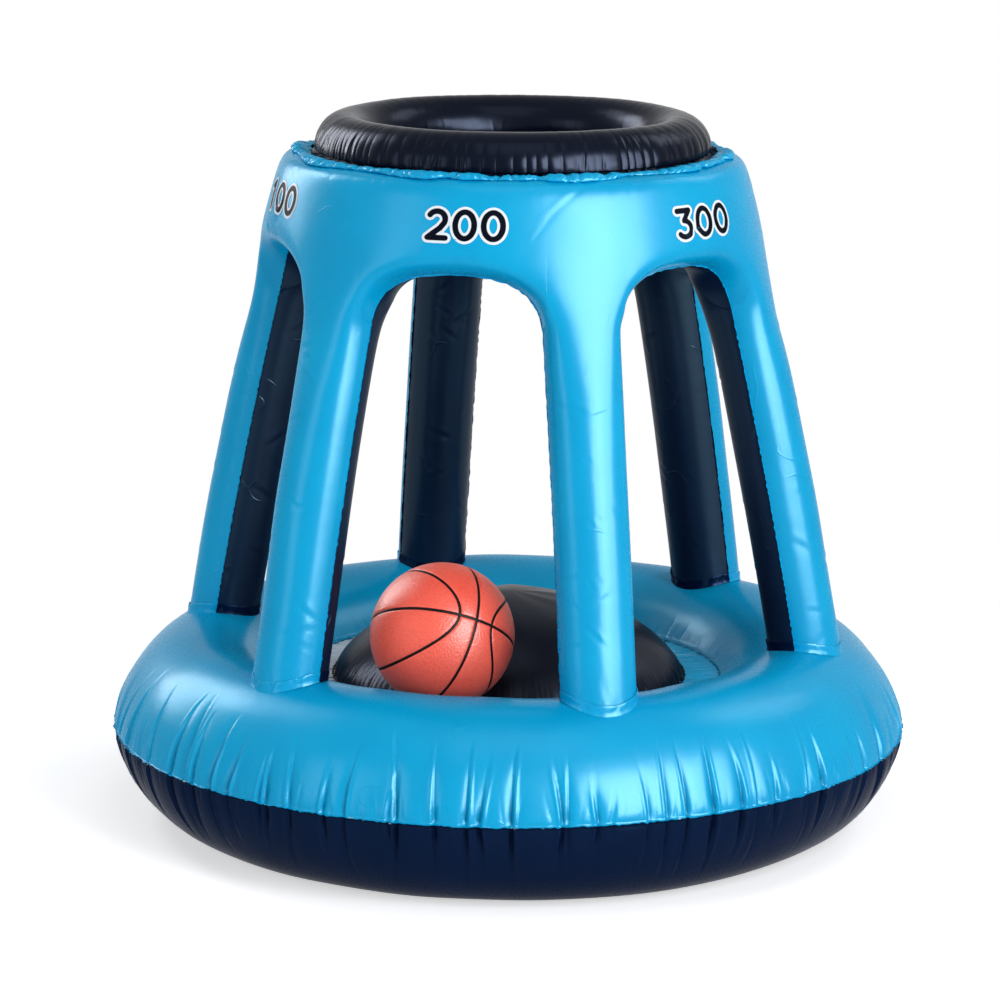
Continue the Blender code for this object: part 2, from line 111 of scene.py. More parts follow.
crown_mean_radius = 0.262
leg_mean_radius = 0.33
cage_run = 0.12

ring_outer_reach = base_radius - base_weld - crest_radius
ring_rise = ring_height - ring_seam_height
ring_drop = ring_seam_height + floor_press
well_seam_sine = (well_height - ring_seam_height) / ring_rise
ring_inner_reach = (crest_radius - well_radius) / sqrt(1 - well_seam_sine**2)
well_seam_angle = pi - asin(well_seam_sine)
full_turn = 2 * pi


# Meshes from arrays


def linked(name, data):
    """An object in the scene from a mesh, a lamp or a camera."""
    obj = bpy.data.objects.new(name, data)
    bpy.context.scene.collection.objects.link(obj)
    return obj


def mesh_of(name, points, faces, material):
    """An object from an array of points and an array of faces with the same number of corners."""
    faces = np.asarray(faces)
    corners = faces.shape[1]
    mesh = bpy.data.meshes.new(name)
    mesh.vertices.add(len(points))
    mesh.vertices.foreach_set("co", np.ascontiguousarray(points, np.float32).ravel())
    mesh.loops.add(faces.size)
    mesh.loops.foreach_set("vertex_index", np.ascontiguousarray(faces, np.int32).ravel())
    mesh.polygons.add(len(faces))
    starts = np.arange(0, faces.size, corners, dtype=np.int32)
    mesh.polygons.foreach_set("loop_start", starts)
    mesh.update(calc_edges=True)
    mesh.validate()
    mesh.shade_smooth()
    mesh.materials.append(material)
    return linked(name, mesh)


def of_bmesh(name, shaped, material):
    """An object from a mesh in the making, which is freed."""
    mesh = bpy.data.meshes.new(name)
    shaped.to_mesh(mesh)
    shaped.free()
    mesh.materials.append(material)
    return linked(name, mesh)


def grid_faces(rows, columns, closed=False, flipped=False):
    """The corners of every face between the points of a grid, which can be closed into a ring."""
    index = np.arange(rows * columns).reshape(rows, columns)
    if closed:
        index = np.concatenate([index, index[:1]])
    corners = (index[:-1, :-1], index[1:, :-1], index[1:, 1:], index[:-1, 1:])
    faces = np.stack(corners, -1).reshape(-1, 4)
    return faces[:, ::-1] if flipped else faces


def turned_object(name, grid, material, flipped=False):
    """A surface closed round the axis from a grid [turn][station] of points."""
    rows, columns = grid.shape[:2]
    faces = grid_faces(rows, columns, closed=True, flipped=flipped)
    return mesh_of(name, grid.reshape(-1, 3), faces, material)


def with_crease_shade_mask(obj, fold):
    """The object, with how deep each of its points lies in a fold, which its material turns into painted
    shade in the creases.
    """
    attribute = obj.data.attributes.new("fold", "FLOAT", "POINT")
    attribute.data.foreach_set("value", fold.ravel().astype(np.float32))
    return obj


def turns_of(count):
    """Even steps round the axis."""
    return np.arange(count) * full_turn / count


def joined_grids(grids, flips):
    """Points and faces of several grids, with the borders that coincide made one."""
    points, faces, first = [], [], 0
    for grid, flipped in zip(grids, flips):
        faces.append(grid_faces(*grid.shape[:2], flipped=flipped) + first)
        points.append(grid.reshape(-1, 3))
        first += grid.shape[0] * grid.shape[1]
    points = np.concatenate(points)
    keys = np.round(points, 6) + 0.0
    _, kept, place = np.unique(keys, axis=0, return_index=True, return_inverse=True)
    return points[kept], place.reshape(-1)[np.concatenate(faces)]


def turned(radius, azimuth, height):
    x, y, z = np.broadcast_arrays(radius * np.sin(azimuth), -radius * np.cos(azimuth), height)
    return np.stack([x, y, z], -1)


def rounded(value, roundness):
    return np.sign(value) * np.abs(value) ** (2 / roundness)


def wrapped(angle):
    """An angle brought within half a turn of zero."""
    return (angle + pi) % full_turn - pi


def smooth_step(value):
    value = np.clip(value, 0, 1)
    return value * value * (3 - 2 * value)


# Valve places


valve_joints = {joint["name"]: joint for joint in frame["record"]["behaviour"]["joints"]}
flange_top = weld_gap + flange_thickness
stem_top = flange_top + stem_proud
valve_depth = 0.02


def valve_place(chamber):
    """A valve's own frame: X to the strap's hinge, Z out of the film, origin on the film."""
    push, strap = valve_joints[f"{chamber}_stem_push"], valve_joints[f"{chamber}_plug_strap"]
    along_y = Vector(strap["axis"]).normalized()
    outward = Vector(push["axis"]).normalized()
    along_x = along_y.cross(outward).normalized()
    turn = Matrix((along_x, along_y, outward)).transposed().to_4x4()
    middle = Vector(strap["pos_m"]) - along_x * lug_reach - outward * stem_top
    return Matrix.Translation(middle) @ turn


def calm(points, chamber):
    """0 where a chamber's valve is welded on and 1 away from it, so no wrinkle runs under it."""
    away = np.linalg.norm(points - np.array(valve_place(chamber).translation), axis=-1)
    return smooth_step((away - 0.015) / 0.015)


def pressed(grid, chamber):
    """The film held down round a chamber's valve, where it would rise through the flange."""
    place = np.array(valve_place(chamber))
    local = (grid - place[:3, 3]) @ place[:3, :3]
    away = np.hypot(local[..., 0], local[..., 1])
    limit = -0.0003 + 0.004 * (np.maximum(away - 0.0135, 0) / 0.020) ** 2
    near = (away < 0.045) & (np.abs(local[..., 2]) < valve_depth)
    soft = 0.0004
    low = -soft * np.logaddexp(-local[..., 2] / soft, -limit / soft)
    local[..., 2] = np.where(near, low, local[..., 2])
    return local @ place[:3, :3].T + place[:3, 3]


def bored(obj, chamber):
    """Cuts the hole in the film that a chamber's valve is welded over, once the mesh round it has
    been made finer."""
    hole_radius, fine_reach, longest_edge = 0.0092, 0.013, 0.0016
    inverse = valve_place(chamber).inverted()

    def away(point):
        local = inverse @ point
        return hypot(local.x, local.y) if abs(local.z) < valve_depth else 1.0

    mesh = bmesh.new()
    mesh.from_mesh(obj.data)
    near = {vertex for vertex in mesh.verts if away(vertex.co) < fine_reach}
    edges = [edge for edge in mesh.edges if near & set(edge.verts) and edge.calc_length() > longest_edge]
    bmesh.ops.subdivide_edges(mesh, edges=edges, cuts=3, use_grid_fill=True)
    inside = [face for face in mesh.faces if away(face.calc_center_median()) < hole_radius]
    bmesh.ops.delete(mesh, geom=inside, context="FACES")
    mesh.to_mesh(obj.data)
    mesh.free()


# Wrinkles


def waves(turns, along, fewest, most, slope, count, seed):
    """Smooth noise that closes round the axis, about -1 to 1, from whole waves round the turn."""
    rng = np.random.default_rng(seed)
    total = np.zeros(np.broadcast(turns, along).shape)
    for _ in range(count):
        rate = rng.uniform(-slope, slope)
        total += np.sin(rng.integers(fewest, most) * turns + rate * along + rng.uniform(0, full_turn))
    return total / sqrt(count / 2) / 2


class Creases:
    """Creases that start at a weld round the axis and fade along the film. The same creases cross
    the weld into the film on its other side."""

    def __init__(self, count, depths, reaches, jitter, seed, placed=()):
        rng = np.random.default_rng(seed)
        self.centres = (np.arange(count) + rng.uniform(-jitter, jitter, count)) * full_turn / count
        self.depths = rng.uniform(*depths, count)
        self.reaches = rng.uniform(*reaches, count)
        self.hands = rng.choice((-1, 1), count)
        self.leans = rng.uniform(-1, 1, count)
        self.bends = rng.uniform(-1, 1, count)
        self.centres[: len(placed)] = np.radians(placed)

    def lift(self, turns, along, radius, widths, lean=0.2, reach_share=1.0, start=0.4, puff=0.0, lip=0.0):
        """How far the film is pushed in or out, by turn and by distance from the weld. A lip is the
        low ridge on the steep side of a crease."""
        total = np.zeros((len(turns), len(along)))
        at_weld = start + (1 - start) * smooth_step(along / 0.008)
        if puff:
            total += puff * self.puffs(turns, radius)[:, None] * np.exp(-along / 0.026) * at_weld
        narrow, wide = widths
        for k, centre in enumerate(self.centres):
            reach = self.reaches[k] * reach_share
            beside = wrapped(turns - centre)
            near = np.abs(beside) * radius < 6 * wide + abs(lean) * reach
            path = lean * along * (self.leans[k] + self.bends[k] * along / 0.08)
            away = beside[near][:, None] * radius - path[None, :]
            side = np.where(away * self.hands[k] > 0, narrow, wide)
            fade = np.clip(1 - along / reach, 0, 1) ** 1.15 * at_weld
            total[near] -= self.depths[k] * np.exp(-np.abs(away) / side) * fade
            if lip:
                ridge = (away * self.hands[k] - 3.0 * narrow) / (1.5 * narrow)
                total[near] += lip * self.depths[k] * np.exp(-(ridge**2)) * fade
        return total

    def puffs(self, turns, radius):
        """The film's arch between neighbouring creases, with a cusp at each crease."""
        order = np.sort(self.centres % full_turn)
        edges = np.concatenate([[order[-1] - full_turn], order, [order[0] + full_turn]])
        place = np.searchsorted(edges, turns % full_turn, side="right") - 1
        place = np.clip(place, 0, len(edges) - 2)
        width = edges[place + 1] - edges[place]
        share = (turns % full_turn - edges[place]) / width
        return np.sin(pi * np.clip(share, 0, 1)) ** 0.7 * width * radius


def jagged(turns, count, seed):
    """An uneven edge, 0 to 1, that breaks at random places round the turn."""
    rng = np.random.default_rng(seed)
    values = rng.uniform(0, 1, count)
    place = (turns % full_turn) / full_turn * count
    low = np.floor(place).astype(int) % count
    share = place - np.floor(place)
    return values[low] * (1 - share) + values[(low + 1) % count] * share


def laid_along(radii, heights, stations, outward):
    """Radius, height and normal of a section at these distances along it."""
    along = np.concatenate([[0], np.cumsum(np.hypot(np.diff(radii), np.diff(heights)))])
    step = 0.0008

    def at(where):
        where = np.clip(where, 0, along[-1])
        return np.interp(where, along, radii), np.interp(where, along, heights)

    radius, height = at(stations)
    ahead, behind = at(stations + step), at(stations - step)
    run, climb = ahead[0] - behind[0], ahead[1] - behind[1]
    length = np.maximum(np.hypot(run, climb), 1e-9)
    return radius, height, outward * climb / length, -outward * run / length


def swell(turns, along, length, height, fades, wave):
    """Slow unevenness of a film, which dies away before the welds at its two ends."""
    slow = waves(turns[:, None], along[None, :], *wave)
    return height * slow * smooth_step(along / fades[0]) * smooth_step((length - along) / fades[1])


def blown(turns, section, lift, chamber=None):
    """A film's grid round the axis: its section pushed out by lift, and held flat round the valve
    of a chamber that has one there."""
    radius, height, out, up = section
    if chamber:
        lift = lift * calm(turned(radius, turns[:, None], height), chamber)
    grid = turned(radius + out * lift, turns[:, None], height + up * lift)
    return pressed(grid, chamber) if chamber else grid


def section_length(radii, heights):
    return float(np.hypot(np.diff(radii), np.diff(heights)).sum())


def stations_of(length, fine, coarse, fine_reach, far_fine_reach=0.0):
    """Distances from a weld, close together near it and near the far weld, wider between."""
    places, here = [0.0], 0.0
    while here < length - fine / 2:
        near = min(here / fine_reach, 1)
        if far_fine_reach:
            near = min(near, max(length - here, 0) / far_fine_reach)
        here += fine + (coarse - fine) * min(near, 1)
        places.append(here)
    return np.array(places) * length / places[-1]


# Materials


def nodes_of(name):
    """A new material, its node tree, its shader and the object's own coordinates."""
    material = bpy.data.materials.new(name)
    material.use_nodes = True
    tree = material.node_tree
    place = tree.nodes.new("ShaderNodeTexCoord").outputs["Object"]
    return material, tree, tree.nodes["Principled BSDF"], place


def add(tree, kind, **inputs):
    node = tree.nodes.new(kind)
    for key, value in inputs.items():
        node.inputs[key.replace("_", " ")].default_value = value
    return node


def noise(tree, coordinates, scale, detail=3.0, roughness=0.55, distortion=0.0):
    node = add(
        tree, "ShaderNodeTexNoise", Scale=scale, Detail=detail, Roughness=roughness, Distortion=distortion
    )
    tree.links.new(coordinates, node.inputs["Vector"])
    return node.outputs["Fac"]


def mapped(tree, value, low, high, to_low, to_high):
    node = add(tree, "ShaderNodeMapRange", From_Min=low, From_Max=high, To_Min=to_low, To_Max=to_high)
    tree.links.new(value, node.inputs["Value"])
    return node.outputs["Result"]


def mixed(tree, share, first, second):
    node = tree.nodes.new("ShaderNodeMix")
    node.data_type = "RGBA"
    tree.links.new(share, node.inputs["Factor"])
    for socket, value in (("A", first), ("B", second)):
        target = [s for s in node.inputs if s.name == socket and s.type == "RGBA"][0]
        if isinstance(value, tuple):
            target.default_value = (*value, 1)
        else:
            tree.links.new(value, target)
    return [s for s in node.outputs if s.type == "RGBA"][0]


def bumped(tree, height, strength, distance, under=None):
    node = add(tree, "ShaderNodeBump", Strength=strength, Distance=distance)
    tree.links.new(height, node.inputs["Height"])
    if under is not None:
        tree.links.new(under, node.inputs["Normal"])
    return node.outputs["Normal"]


def feed(tree, shader, colour, gloss, normal):
    for name, value in (("Base Color", colour), ("Roughness", gloss), ("Normal", normal)):
        tree.links.new(value, shader.inputs[name])


def maths(tree, operation, first, second=0.0):
    """A sum on two values, each a number or another node's output."""
    node = tree.nodes.new("ShaderNodeMath")
    node.operation = operation
    for socket, value in zip(node.inputs, (first, second)):
        if isinstance(value, float):
            socket.default_value = value
        else:
            tree.links.new(value, socket)
    return node.outputs[0]


def added(tree, first, second):
    """The light of two shaders together."""
    node = tree.nodes.new("ShaderNodeAddShader")
    tree.links.new(first.outputs[0], node.inputs[0])
    tree.links.new(second.outputs[0], node.inputs[1])
    return node


def chosen(tree, share, first, second):
    """The first shader where share is 0, and the second where it is 1."""
    node = tree.nodes.new("ShaderNodeMixShader")
    tree.links.new(share, node.inputs["Fac"])
    tree.links.new(first.outputs[0], node.inputs[1])
    tree.links.new(second.outputs[0], node.inputs[2])
    return node


def crease_shade_mask(tree):
    node = tree.nodes.new("ShaderNodeAttribute")
    node.attribute_name = "fold"
    return node.outputs["Fac"]


def satin(tree, shader, sheen, roughness, normal):
    """Adds a satin lobe of one strength at every angle, as pearly pigment in the film gives."""
    glossy = add(tree, "ShaderNodeBsdfAnisotropic", Color=(*sheen, 1), Roughness=roughness)
    tree.links.new(normal, glossy.inputs["Normal"])
    both = added(tree, shader, glossy)
    tree.links.new(both.outputs[0], tree.nodes["Material Output"].inputs["Surface"])
    return glossy


def crease_marks(tree, place):
    """Sparse short crease lines: thin ridges along a noise's middle level, where a second noise
    lets them through."""
    lines = noise(tree, place, 24.0, 0.0, 0.5, 0.15)
    away = maths(tree, "ABSOLUTE", maths(tree, "SUBTRACT", lines, 0.5))
    ridge = mapped(tree, away, 0.0, 0.016, 1.0, 0.0)
    shown = mapped(tree, noise(tree, place, 19.0, 1.0), 0.60, 0.70, 0.0, 1.0)
    return maths(tree, "MULTIPLY", ridge, shown)


def vinyl(name, colour, other, roughness, sheen, specular=0.03, creased=0.0, shade_in_creases=False):
    """Blown vinyl film: a faint drift of colour, a slow ripple and a fine grain in the gloss, and, where
    asked, painted shade in its creases on both colour and sheen.
    """
    material, tree, shader, place = nodes_of(name)
    drift = noise(tree, place, 9.0, 2.0)
    speck = noise(tree, place, 420.0, 2.0)
    skin = mixed(tree, mapped(tree, drift, 0.35, 0.65, 0.0, 1.0), colour, other)
    # Painted shade: the colour falls towards a quarter of itself where the film lies deep in a crease.
    if shade_in_creases:
        fold = crease_shade_mask(tree)
        dark = mapped(tree, fold, 0.0, 1.0, 0.0, 0.75)
        skin = mixed(tree, dark, skin, tuple(0.25 * c for c in colour))
    gloss = mapped(tree, speck, 0.3, 0.7, roughness * 0.88, roughness * 1.16)
    slow = noise(tree, place, 26.0, 2.0, 0.45, 0.6)
    grain = noise(tree, place, 260.0, 3.0, 0.6)
    normal = bumped(tree, slow, 0.30, 0.0012)
    normal = bumped(tree, grain, 0.08, 0.00018, normal)
    if creased:
        normal = bumped(tree, crease_marks(tree, place), creased, 0.0007, normal)
    feed(tree, shader, skin, gloss, normal)
    shader.inputs["Specular IOR Level"].default_value = specular
    lobe = satin(tree, shader, sheen, roughness, normal)
    # Painted shade on the sheen: the satin lobe dims in the creases as well.
    if shade_in_creases:
        crease_dimmed_sheen = tuple(0.12 * c for c in sheen)
        tree.links.new(mixed(tree, fold, sheen, crease_dimmed_sheen), lobe.inputs["Color"])
    return material


def floor_vinyl(name):
    """The floor sheet's band: blue on one side of the well, and paler and greyer on the other as a
    painted reflection, with painted shade in the folds' bottoms."""
    material, tree, shader, place = nodes_of(name)
    split = tree.nodes.new("ShaderNodeSeparateXYZ")
    tree.links.new(place, split.inputs["Vector"])
    # Painted reflection: the blue sheet turns paler and greyer towards -X.
    side = mapped(tree, split.outputs["X"], -0.10, 0.06, 1.0, 0.0)
    base = mixed(tree, side, (0.010, 0.44, 0.78), (0.52, 0.62, 0.70))
    # Painted shade: the pleats' bottoms go dark along the fold attribute.
    dark = mapped(tree, crease_shade_mask(tree), 0.35, 0.9, 0.0, 1.0)
    deep = mixed(tree, side, (0.004, 0.10, 0.21), (0.010, 0.012, 0.020))
    speck = noise(tree, place, 300.0)
    gloss = mapped(tree, speck, 0.3, 0.7, 0.26, 0.36)
    feed(tree, shader, mixed(tree, dark, base, deep), gloss, bumped(tree, speck, 0.25, 0.0002))
    return material


def ball_rubber(name, colour, other):
    """Pebbled rubber: round cells that stand up close together, with painted shade in the gaps between them.
    """
    material, tree, shader, place = nodes_of(name)
    cells = add(tree, "ShaderNodeTexVoronoi", Scale=430.0)
    tree.links.new(place, cells.inputs["Vector"])
    drift = noise(tree, place, 14.0, 2.0)
    share = mapped(tree, drift, 0.35, 0.65, 0.0, 1.0)
    skin = mixed(tree, share, colour, other)
    # Painted shade: the colour darkens in the gaps between the pebbles.
    groove = mapped(tree, cells.outputs["Distance"], 0.42, 0.75, 0.0, 0.25)
    dark = tuple(c * 0.6 for c in colour)
    height = mapped(tree, cells.outputs["Distance"], 0.0, 0.7, 1.0, 0.0)
    gloss = mapped(tree, drift, 0.3, 0.7, 0.40, 0.50)
    feed(tree, shader, mixed(tree, groove, skin, dark), gloss, bumped(tree, height, 0.5, 0.0005))
    shader.inputs["Specular IOR Level"].default_value = 0.45
    return material


def clear_vinyl(name):
    material, tree, shader, place = nodes_of(name)
    cloud = noise(tree, place, 180.0, 3.0)
    share = mapped(tree, cloud, 0.3, 0.7, 0.0, 1.0)
    skin = mixed(tree, share, (0.70, 0.76, 0.80), (0.82, 0.87, 0.90))
    gloss = mapped(tree, cloud, 0.3, 0.7, 0.20, 0.34)
    feed(tree, shader, skin, gloss, bumped(tree, cloud, 0.2, 0.0002))
    shader.inputs["Transmission Weight"].default_value = 0.45
    shader.inputs["IOR"].default_value = 1.45
    return material


light_blue = vinyl(
    "light_blue_film", (0.0005, 0.33, 0.62), (0.0008, 0.365, 0.66), 0.27,
    (0.0105, 0.0188, 0.0230), creased=0.35, shade_in_creases=True,
)
navy = vinyl(
    "navy_film", (0.0010, 0.0052, 0.0240), (0.0014, 0.0064, 0.0290), 0.28,
    (0.0022, 0.0056, 0.0125), 0.010, creased=0.45, shade_in_creases=True,
)
# The same navy film as the ring's, in a lighter copy with a stronger sheen: painted light on the cage's
# inner film, which faces the lamps.
lit_navy_copy = vinyl(
    "navy_film_lit_copy", (0.0018, 0.0078, 0.0280), (0.0026, 0.0096, 0.0330), 0.34,
    (0.0090, 0.0180, 0.0240), 0.03, creased=0.80,
)
black = vinyl(
    "black_film", (0.0012, 0.0024, 0.0078), (0.0018, 0.0032, 0.0096), 0.24, (0.0032, 0.0044, 0.0076)
)
dome_black = vinyl(
    "dome_film", (0.0018, 0.0028, 0.0070), (0.003, 0.0042, 0.010), 0.32, (0.0095, 0.0112, 0.0165)
)
floor_film = floor_vinyl("floor_film")
orange = ball_rubber("ball_rubber", (0.98, 0.100, 0.056), (0.98, 0.114, 0.066))
channel_black = vinyl(
    "ball_channel", (0.004, 0.004, 0.005), (0.007, 0.007, 0.008), 0.42, (0.003, 0.003, 0.003)
)
valve_clear = clear_vinyl("valve_vinyl")
print_black = vinyl(
    "print_black", (0.002, 0.003, 0.007), (0.003, 0.004, 0.009), 0.34, (0.0015, 0.002, 0.003), 0.01
)
print_white = vinyl("print_white", (0.76, 0.82, 0.87), (0.82, 0.87, 0.91), 0.34, (0.003, 0.003, 0.003))
# Pale film for the painted highlights along the ring's weld edge.
glint_paint = vinyl("weld_painted_glint", (0.26, 0.46, 0.60), (0.46, 0.62, 0.72), 0.30, (0.010, 0.014, 0.018))


# Base ring


ring_turns = turns_of(2340)
ring_creases = Creases(92, (0.0022, 0.0062), (0.040, 0.115), 0.48, 11)
ring_ripples = Creases(230, (0.0004, 0.0018), (0.012, 0.046), 0.6, 12)


def ring_section(angles):
    outside, above = np.cos(angles) >= 0, np.sin(angles) >= 0
    shape = np.where(above, upper_seam_roundness, lower_seam_roundness)
    shape = np.where(outside, shape, 2.0)
    reach = np.where(outside, ring_outer_reach, ring_inner_reach)
    radius = crest_radius + reach * np.cos(angles)
    climb = rounded(np.sin(angles), shape)
    height = ring_seam_height + np.where(above, ring_rise, ring_drop) * climb
    return radius, np.maximum(height, 0)


def ring_top(radius):
    reach = np.where(radius > crest_radius, ring_outer_reach, ring_inner_reach)
    shape = np.where(radius > crest_radius, upper_seam_roundness, 2.0)
    share = np.minimum(np.abs(radius - crest_radius) / reach, 1)
    return ring_seam_height + ring_rise * (1 - share**2) ** (1 / shape)


def ring_skin(name, above, material):
    side = 1 if above else -1
    last = well_seam_angle if above else well_seam_angle - full_turn
    radii, heights = ring_section(np.linspace(0, last, 4000))
    length = section_length(radii, heights)
    spacing = (0.0034, 0.0112) if above else (0.0038, 0.0124)
    along = stations_of(length, *spacing, 0.05, 0.02)
    if above:
        valve = valve_place("base").translation
        nearest = np.argmin(np.hypot(radii - hypot(valve.x, valve.y), heights - valve.z))
        middle = section_length(radii[: nearest + 1], heights[: nearest + 1])
        along = np.sort(np.concatenate([along, middle + np.array([-0.011, -0.0055, 0, 0.0055, 0.011])]))
    radius, height, out, up = laid_along(radii, heights, along, side)
    out[0], up[0] = 1.0, 0.0
    reach_share = 1.0 if above else 0.85
    lift = ring_creases.lift(
        ring_turns, along, base_radius, (0.0013, 0.0046), 0.12, reach_share, 0.45, 0.04, 0.45
    )
    # How deep each point lies in a crease: the mask for the painted shade that the film's material lays
    # along the creases.
    fold = np.clip(-lift / 0.0042, 0, 1) ** 1.6
    lift += ring_ripples.lift(ring_turns, along, base_radius, (0.0011, 0.0028), 0.35, reach_share)
    wave = (4, 22, 40, 12, 13 if above else 14)
    lift += swell(ring_turns, along, length, 0.0007, (0.02, 0.03), wave)
    well = Creases(150, (0.0004, 0.0015), (0.012, 0.034), 0.5, 15)
    lift += well.lift(ring_turns, length - along, well_radius, (0.0016, 0.0034), 0.2)
    lift *= smooth_step(along / 0.004 + 0.35)
    grid = blown(ring_turns, (radius, height, out, up), lift, "base" if above else None)
    grid[..., 2] = np.maximum(grid[..., 2], 0)
    lip = weld_lip(side, lift[:, 0])
    well_lip = grid[:, -1:].copy()
    inward = (well_radius - well_weld) / np.hypot(well_lip[..., 0], well_lip[..., 1])
    well_lip[..., :2] *= inward[..., None]
    well_lip[..., 2] = well_height + side * (film + weld_gap)
    grid[:, -1, 2] = well_height + side * (film + weld_gap)
    obj = turned_object(name, np.concatenate([lip, grid, well_lip], 1), material, not above)
    fold = np.pad(fold, ((0, 0), (lip.shape[1], 1)))
    return with_crease_shade_mask(obj, fold)


def weld_lip(side, pushed):
    """The flat weld that stands out round the ring, with an uneven cut edge."""
    steps = np.array([1.0, 0.66, 0.33])
    edge = 0.0012 + 0.0034 * jagged(ring_turns, 620, 21) * jagged(ring_turns, 170, 22) ** 0.5
    sway = 0.0004 * waves(ring_turns, 0.0, 40, 130, 0, 10, 23)
    sway += 0.0005 * waves(ring_turns, 0.0, 160, 420, 0, 10, 24)
    radius = base_radius - base_weld + pushed[:, None] + edge[:, None] * steps
    height = ring_seam_height + sway[:, None] * steps + side * (film / 2 + 0.0001)
    return turned(np.minimum(radius, base_radius), ring_turns[:, None], height)


def painted_seam_glints():
    """Pale quads along the weld's cut edge: painted highlights where the edge catches the light."""
    rng = np.random.default_rng(31)
    points, faces = [], []
    for turn in rng.uniform(0, full_turn, 90):
        size = rng.uniform(0.0006, 0.0015)
        radius = base_radius - base_weld + rng.uniform(0.0012, 0.0026)
        height = ring_seam_height + rng.uniform(-0.0008, 0.0012)
        long = size / radius * rng.uniform(0.8, 2.4)
        slant = rng.uniform(-0.6, 0.6) * size
        ring = [
            (radius, turn - long, height - slant),
            (radius + 0.0008, turn, height - size / 3),
            (radius, turn + long, height + slant),
            (radius + 0.0005, turn, height + size / 3),
        ]
        first = len(points)
        points += [turned(r, t, z) for r, t, z in ring]
        faces.append([first, first + 1, first + 2, first + 3])
    return mesh_of("base_weld_painted_glints", np.array(points), faces, glint_paint)


ring_upper = ring_skin("ring_upper_film", True, light_blue)
ring_lower = ring_skin("ring_lower_film", False, navy)
bored(ring_upper, "base")
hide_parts("base_ring_upper_skin")
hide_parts("base_ring_lower_skin")
ring_painted_glints = painted_seam_glints()


# Well floor and dome


well_turns = turns_of(1140)


def dome_top(radius):
    share = np.minimum(radius / dome_radius, 1)
    return well_height + film + dome_height * (1 - share**dome_roundness) ** (1 / dome_roundness)


def floor_band():
    """The pleated band between the dome and the ring, with how deep each point lies in a pleat as the mask
    for the painted shade in the pleats' bottoms.
    """
    inner = dome_radius - 0.004
    radii = np.linspace(inner, well_radius - weld_gap, 26)
    rng = np.random.default_rng(41)
    count = 96
    centres = (np.arange(count) + rng.uniform(-0.3, 0.3, count)) * full_turn / count
    fold = np.zeros((len(well_turns), len(radii)))
    across = (radii - radii[0]) / (radii[-1] - radii[0])
    for centre in centres:
        lean = rng.uniform(-0.008, 0.008)
        width = rng.uniform(0.0009, 0.0017)
        first, last = sorted(rng.uniform(-0.2, 1.2, 2))
        if last - first < 0.5:
            first, last = -0.2, 1.2
        path = centre + lean * across
        away = np.abs(wrapped(well_turns[:, None] - path)) * radii
        present = smooth_step((across - first) / 0.15) * smooth_step((last - across) / 0.15)
        fold = np.maximum(fold, np.exp(-((away / width) ** 2)) * present)
    pillow = waves(well_turns[:, None], across * 3, 60, 130, 2, 10, 42)
    rise = 0.0009 + 0.0009 * pillow - 0.0022 * fold
    rise *= np.sin(pi * np.clip(across, 0.02, 0.98)) ** 0.4
    grid = turned(radii, well_turns[:, None], well_height + film / 2 + rise)
    sag_radii = np.linspace(0.0, inner, 40)[:-1]
    sag = well_height - floor_sag * (1 - (sag_radii / inner) ** dome_roundness) ** (1 / dome_roundness)
    gathers = Creases(110, (0.0006, 0.0024), (0.02, 0.07), 0.5, 43)
    push = gathers.lift(well_turns, inner - sag_radii[::-1], inner, (0.002, 0.005), 0.1)[:, ::-1]
    under = turned(sag_radii, well_turns[:, None], sag - push * (sag_radii > 0))
    grid = np.concatenate([under, grid], 1)
    fold = np.concatenate([np.zeros(under.shape[:2]), fold], 1)
    obj = turned_object("well_floor_film", grid, floor_film, True)
    return with_crease_shade_mask(obj, fold)


def dome():
    angles = np.linspace(0, pi / 2, 3000)
    radii = dome_radius * rounded(np.cos(angles), dome_roundness)
    heights = np.maximum(dome_top(radii), well_height + film)
    length = section_length(radii, heights)
    along = stations_of(length, 0.0016, 0.0052, 0.045)[:-1]
    section = laid_along(radii, heights, along, 1)
    pleats = Creases(170, (0.0005, 0.0019), (0.010, 0.036), 0.45, 45)
    lift = pleats.lift(well_turns, along, dome_radius, (0.0012, 0.0030), 0.10, 1.0, 0.5, 0.08)
    fine = Creases(190, (0.0002, 0.0007), (0.008, 0.022), 0.6, 46)
    lift += fine.lift(well_turns, along, dome_radius, (0.0009, 0.0016), 0.15)
    lift += swell(well_turns, along, length, 0.0008, (0.03, 0.06), (3, 12, 25, 10, 47))
    grid = blown(well_turns, section, lift, "dome")
    grid[..., 2] = np.maximum(grid[..., 2], well_height + film)
    crown = np.broadcast_to([0, 0, float(dome_top(0.0))], (len(well_turns), 1, 3))
    lip = dome_radius + dome_weld * (0.5 + 0.5 * jagged(well_turns, 420, 48))
    lip_height = well_height + 0.0011 + 0.0008 * waves(well_turns, 0.0, 60, 200, 0, 8, 49)
    edge = turned(lip, well_turns, lip_height)[:, None]
    grid = np.concatenate([edge, grid, crown], 1)
    return turned_object("dome_film", grid, dome_black)


def bead(name, radius, height, thickness, turns, seed, material):
    """An uneven welded bead round the axis."""
    sides = 8
    angles = turns_of(sides)
    size = thickness * (0.55 + 0.75 * jagged(turns, 300, seed))
    away = thickness * 0.7 * waves(turns, 0.0, 40, 200, 0, 10, seed + 1)
    rise = thickness * 0.6 * waves(turns, 0.0, 50, 220, 0, 10, seed + 2)
    ring = radius + away[:, None] + size[:, None] * np.cos(angles)
    up = height + rise[:, None] + size[:, None] * np.sin(angles)
    grid = turned(ring, turns[:, None], up)
    row, column = np.divmod(grid_faces(len(turns), sides + 1, closed=True), sides + 1)
    faces = row * sides + column % sides
    return mesh_of(name, grid.reshape(-1, 3), faces[:, ::-1], material)


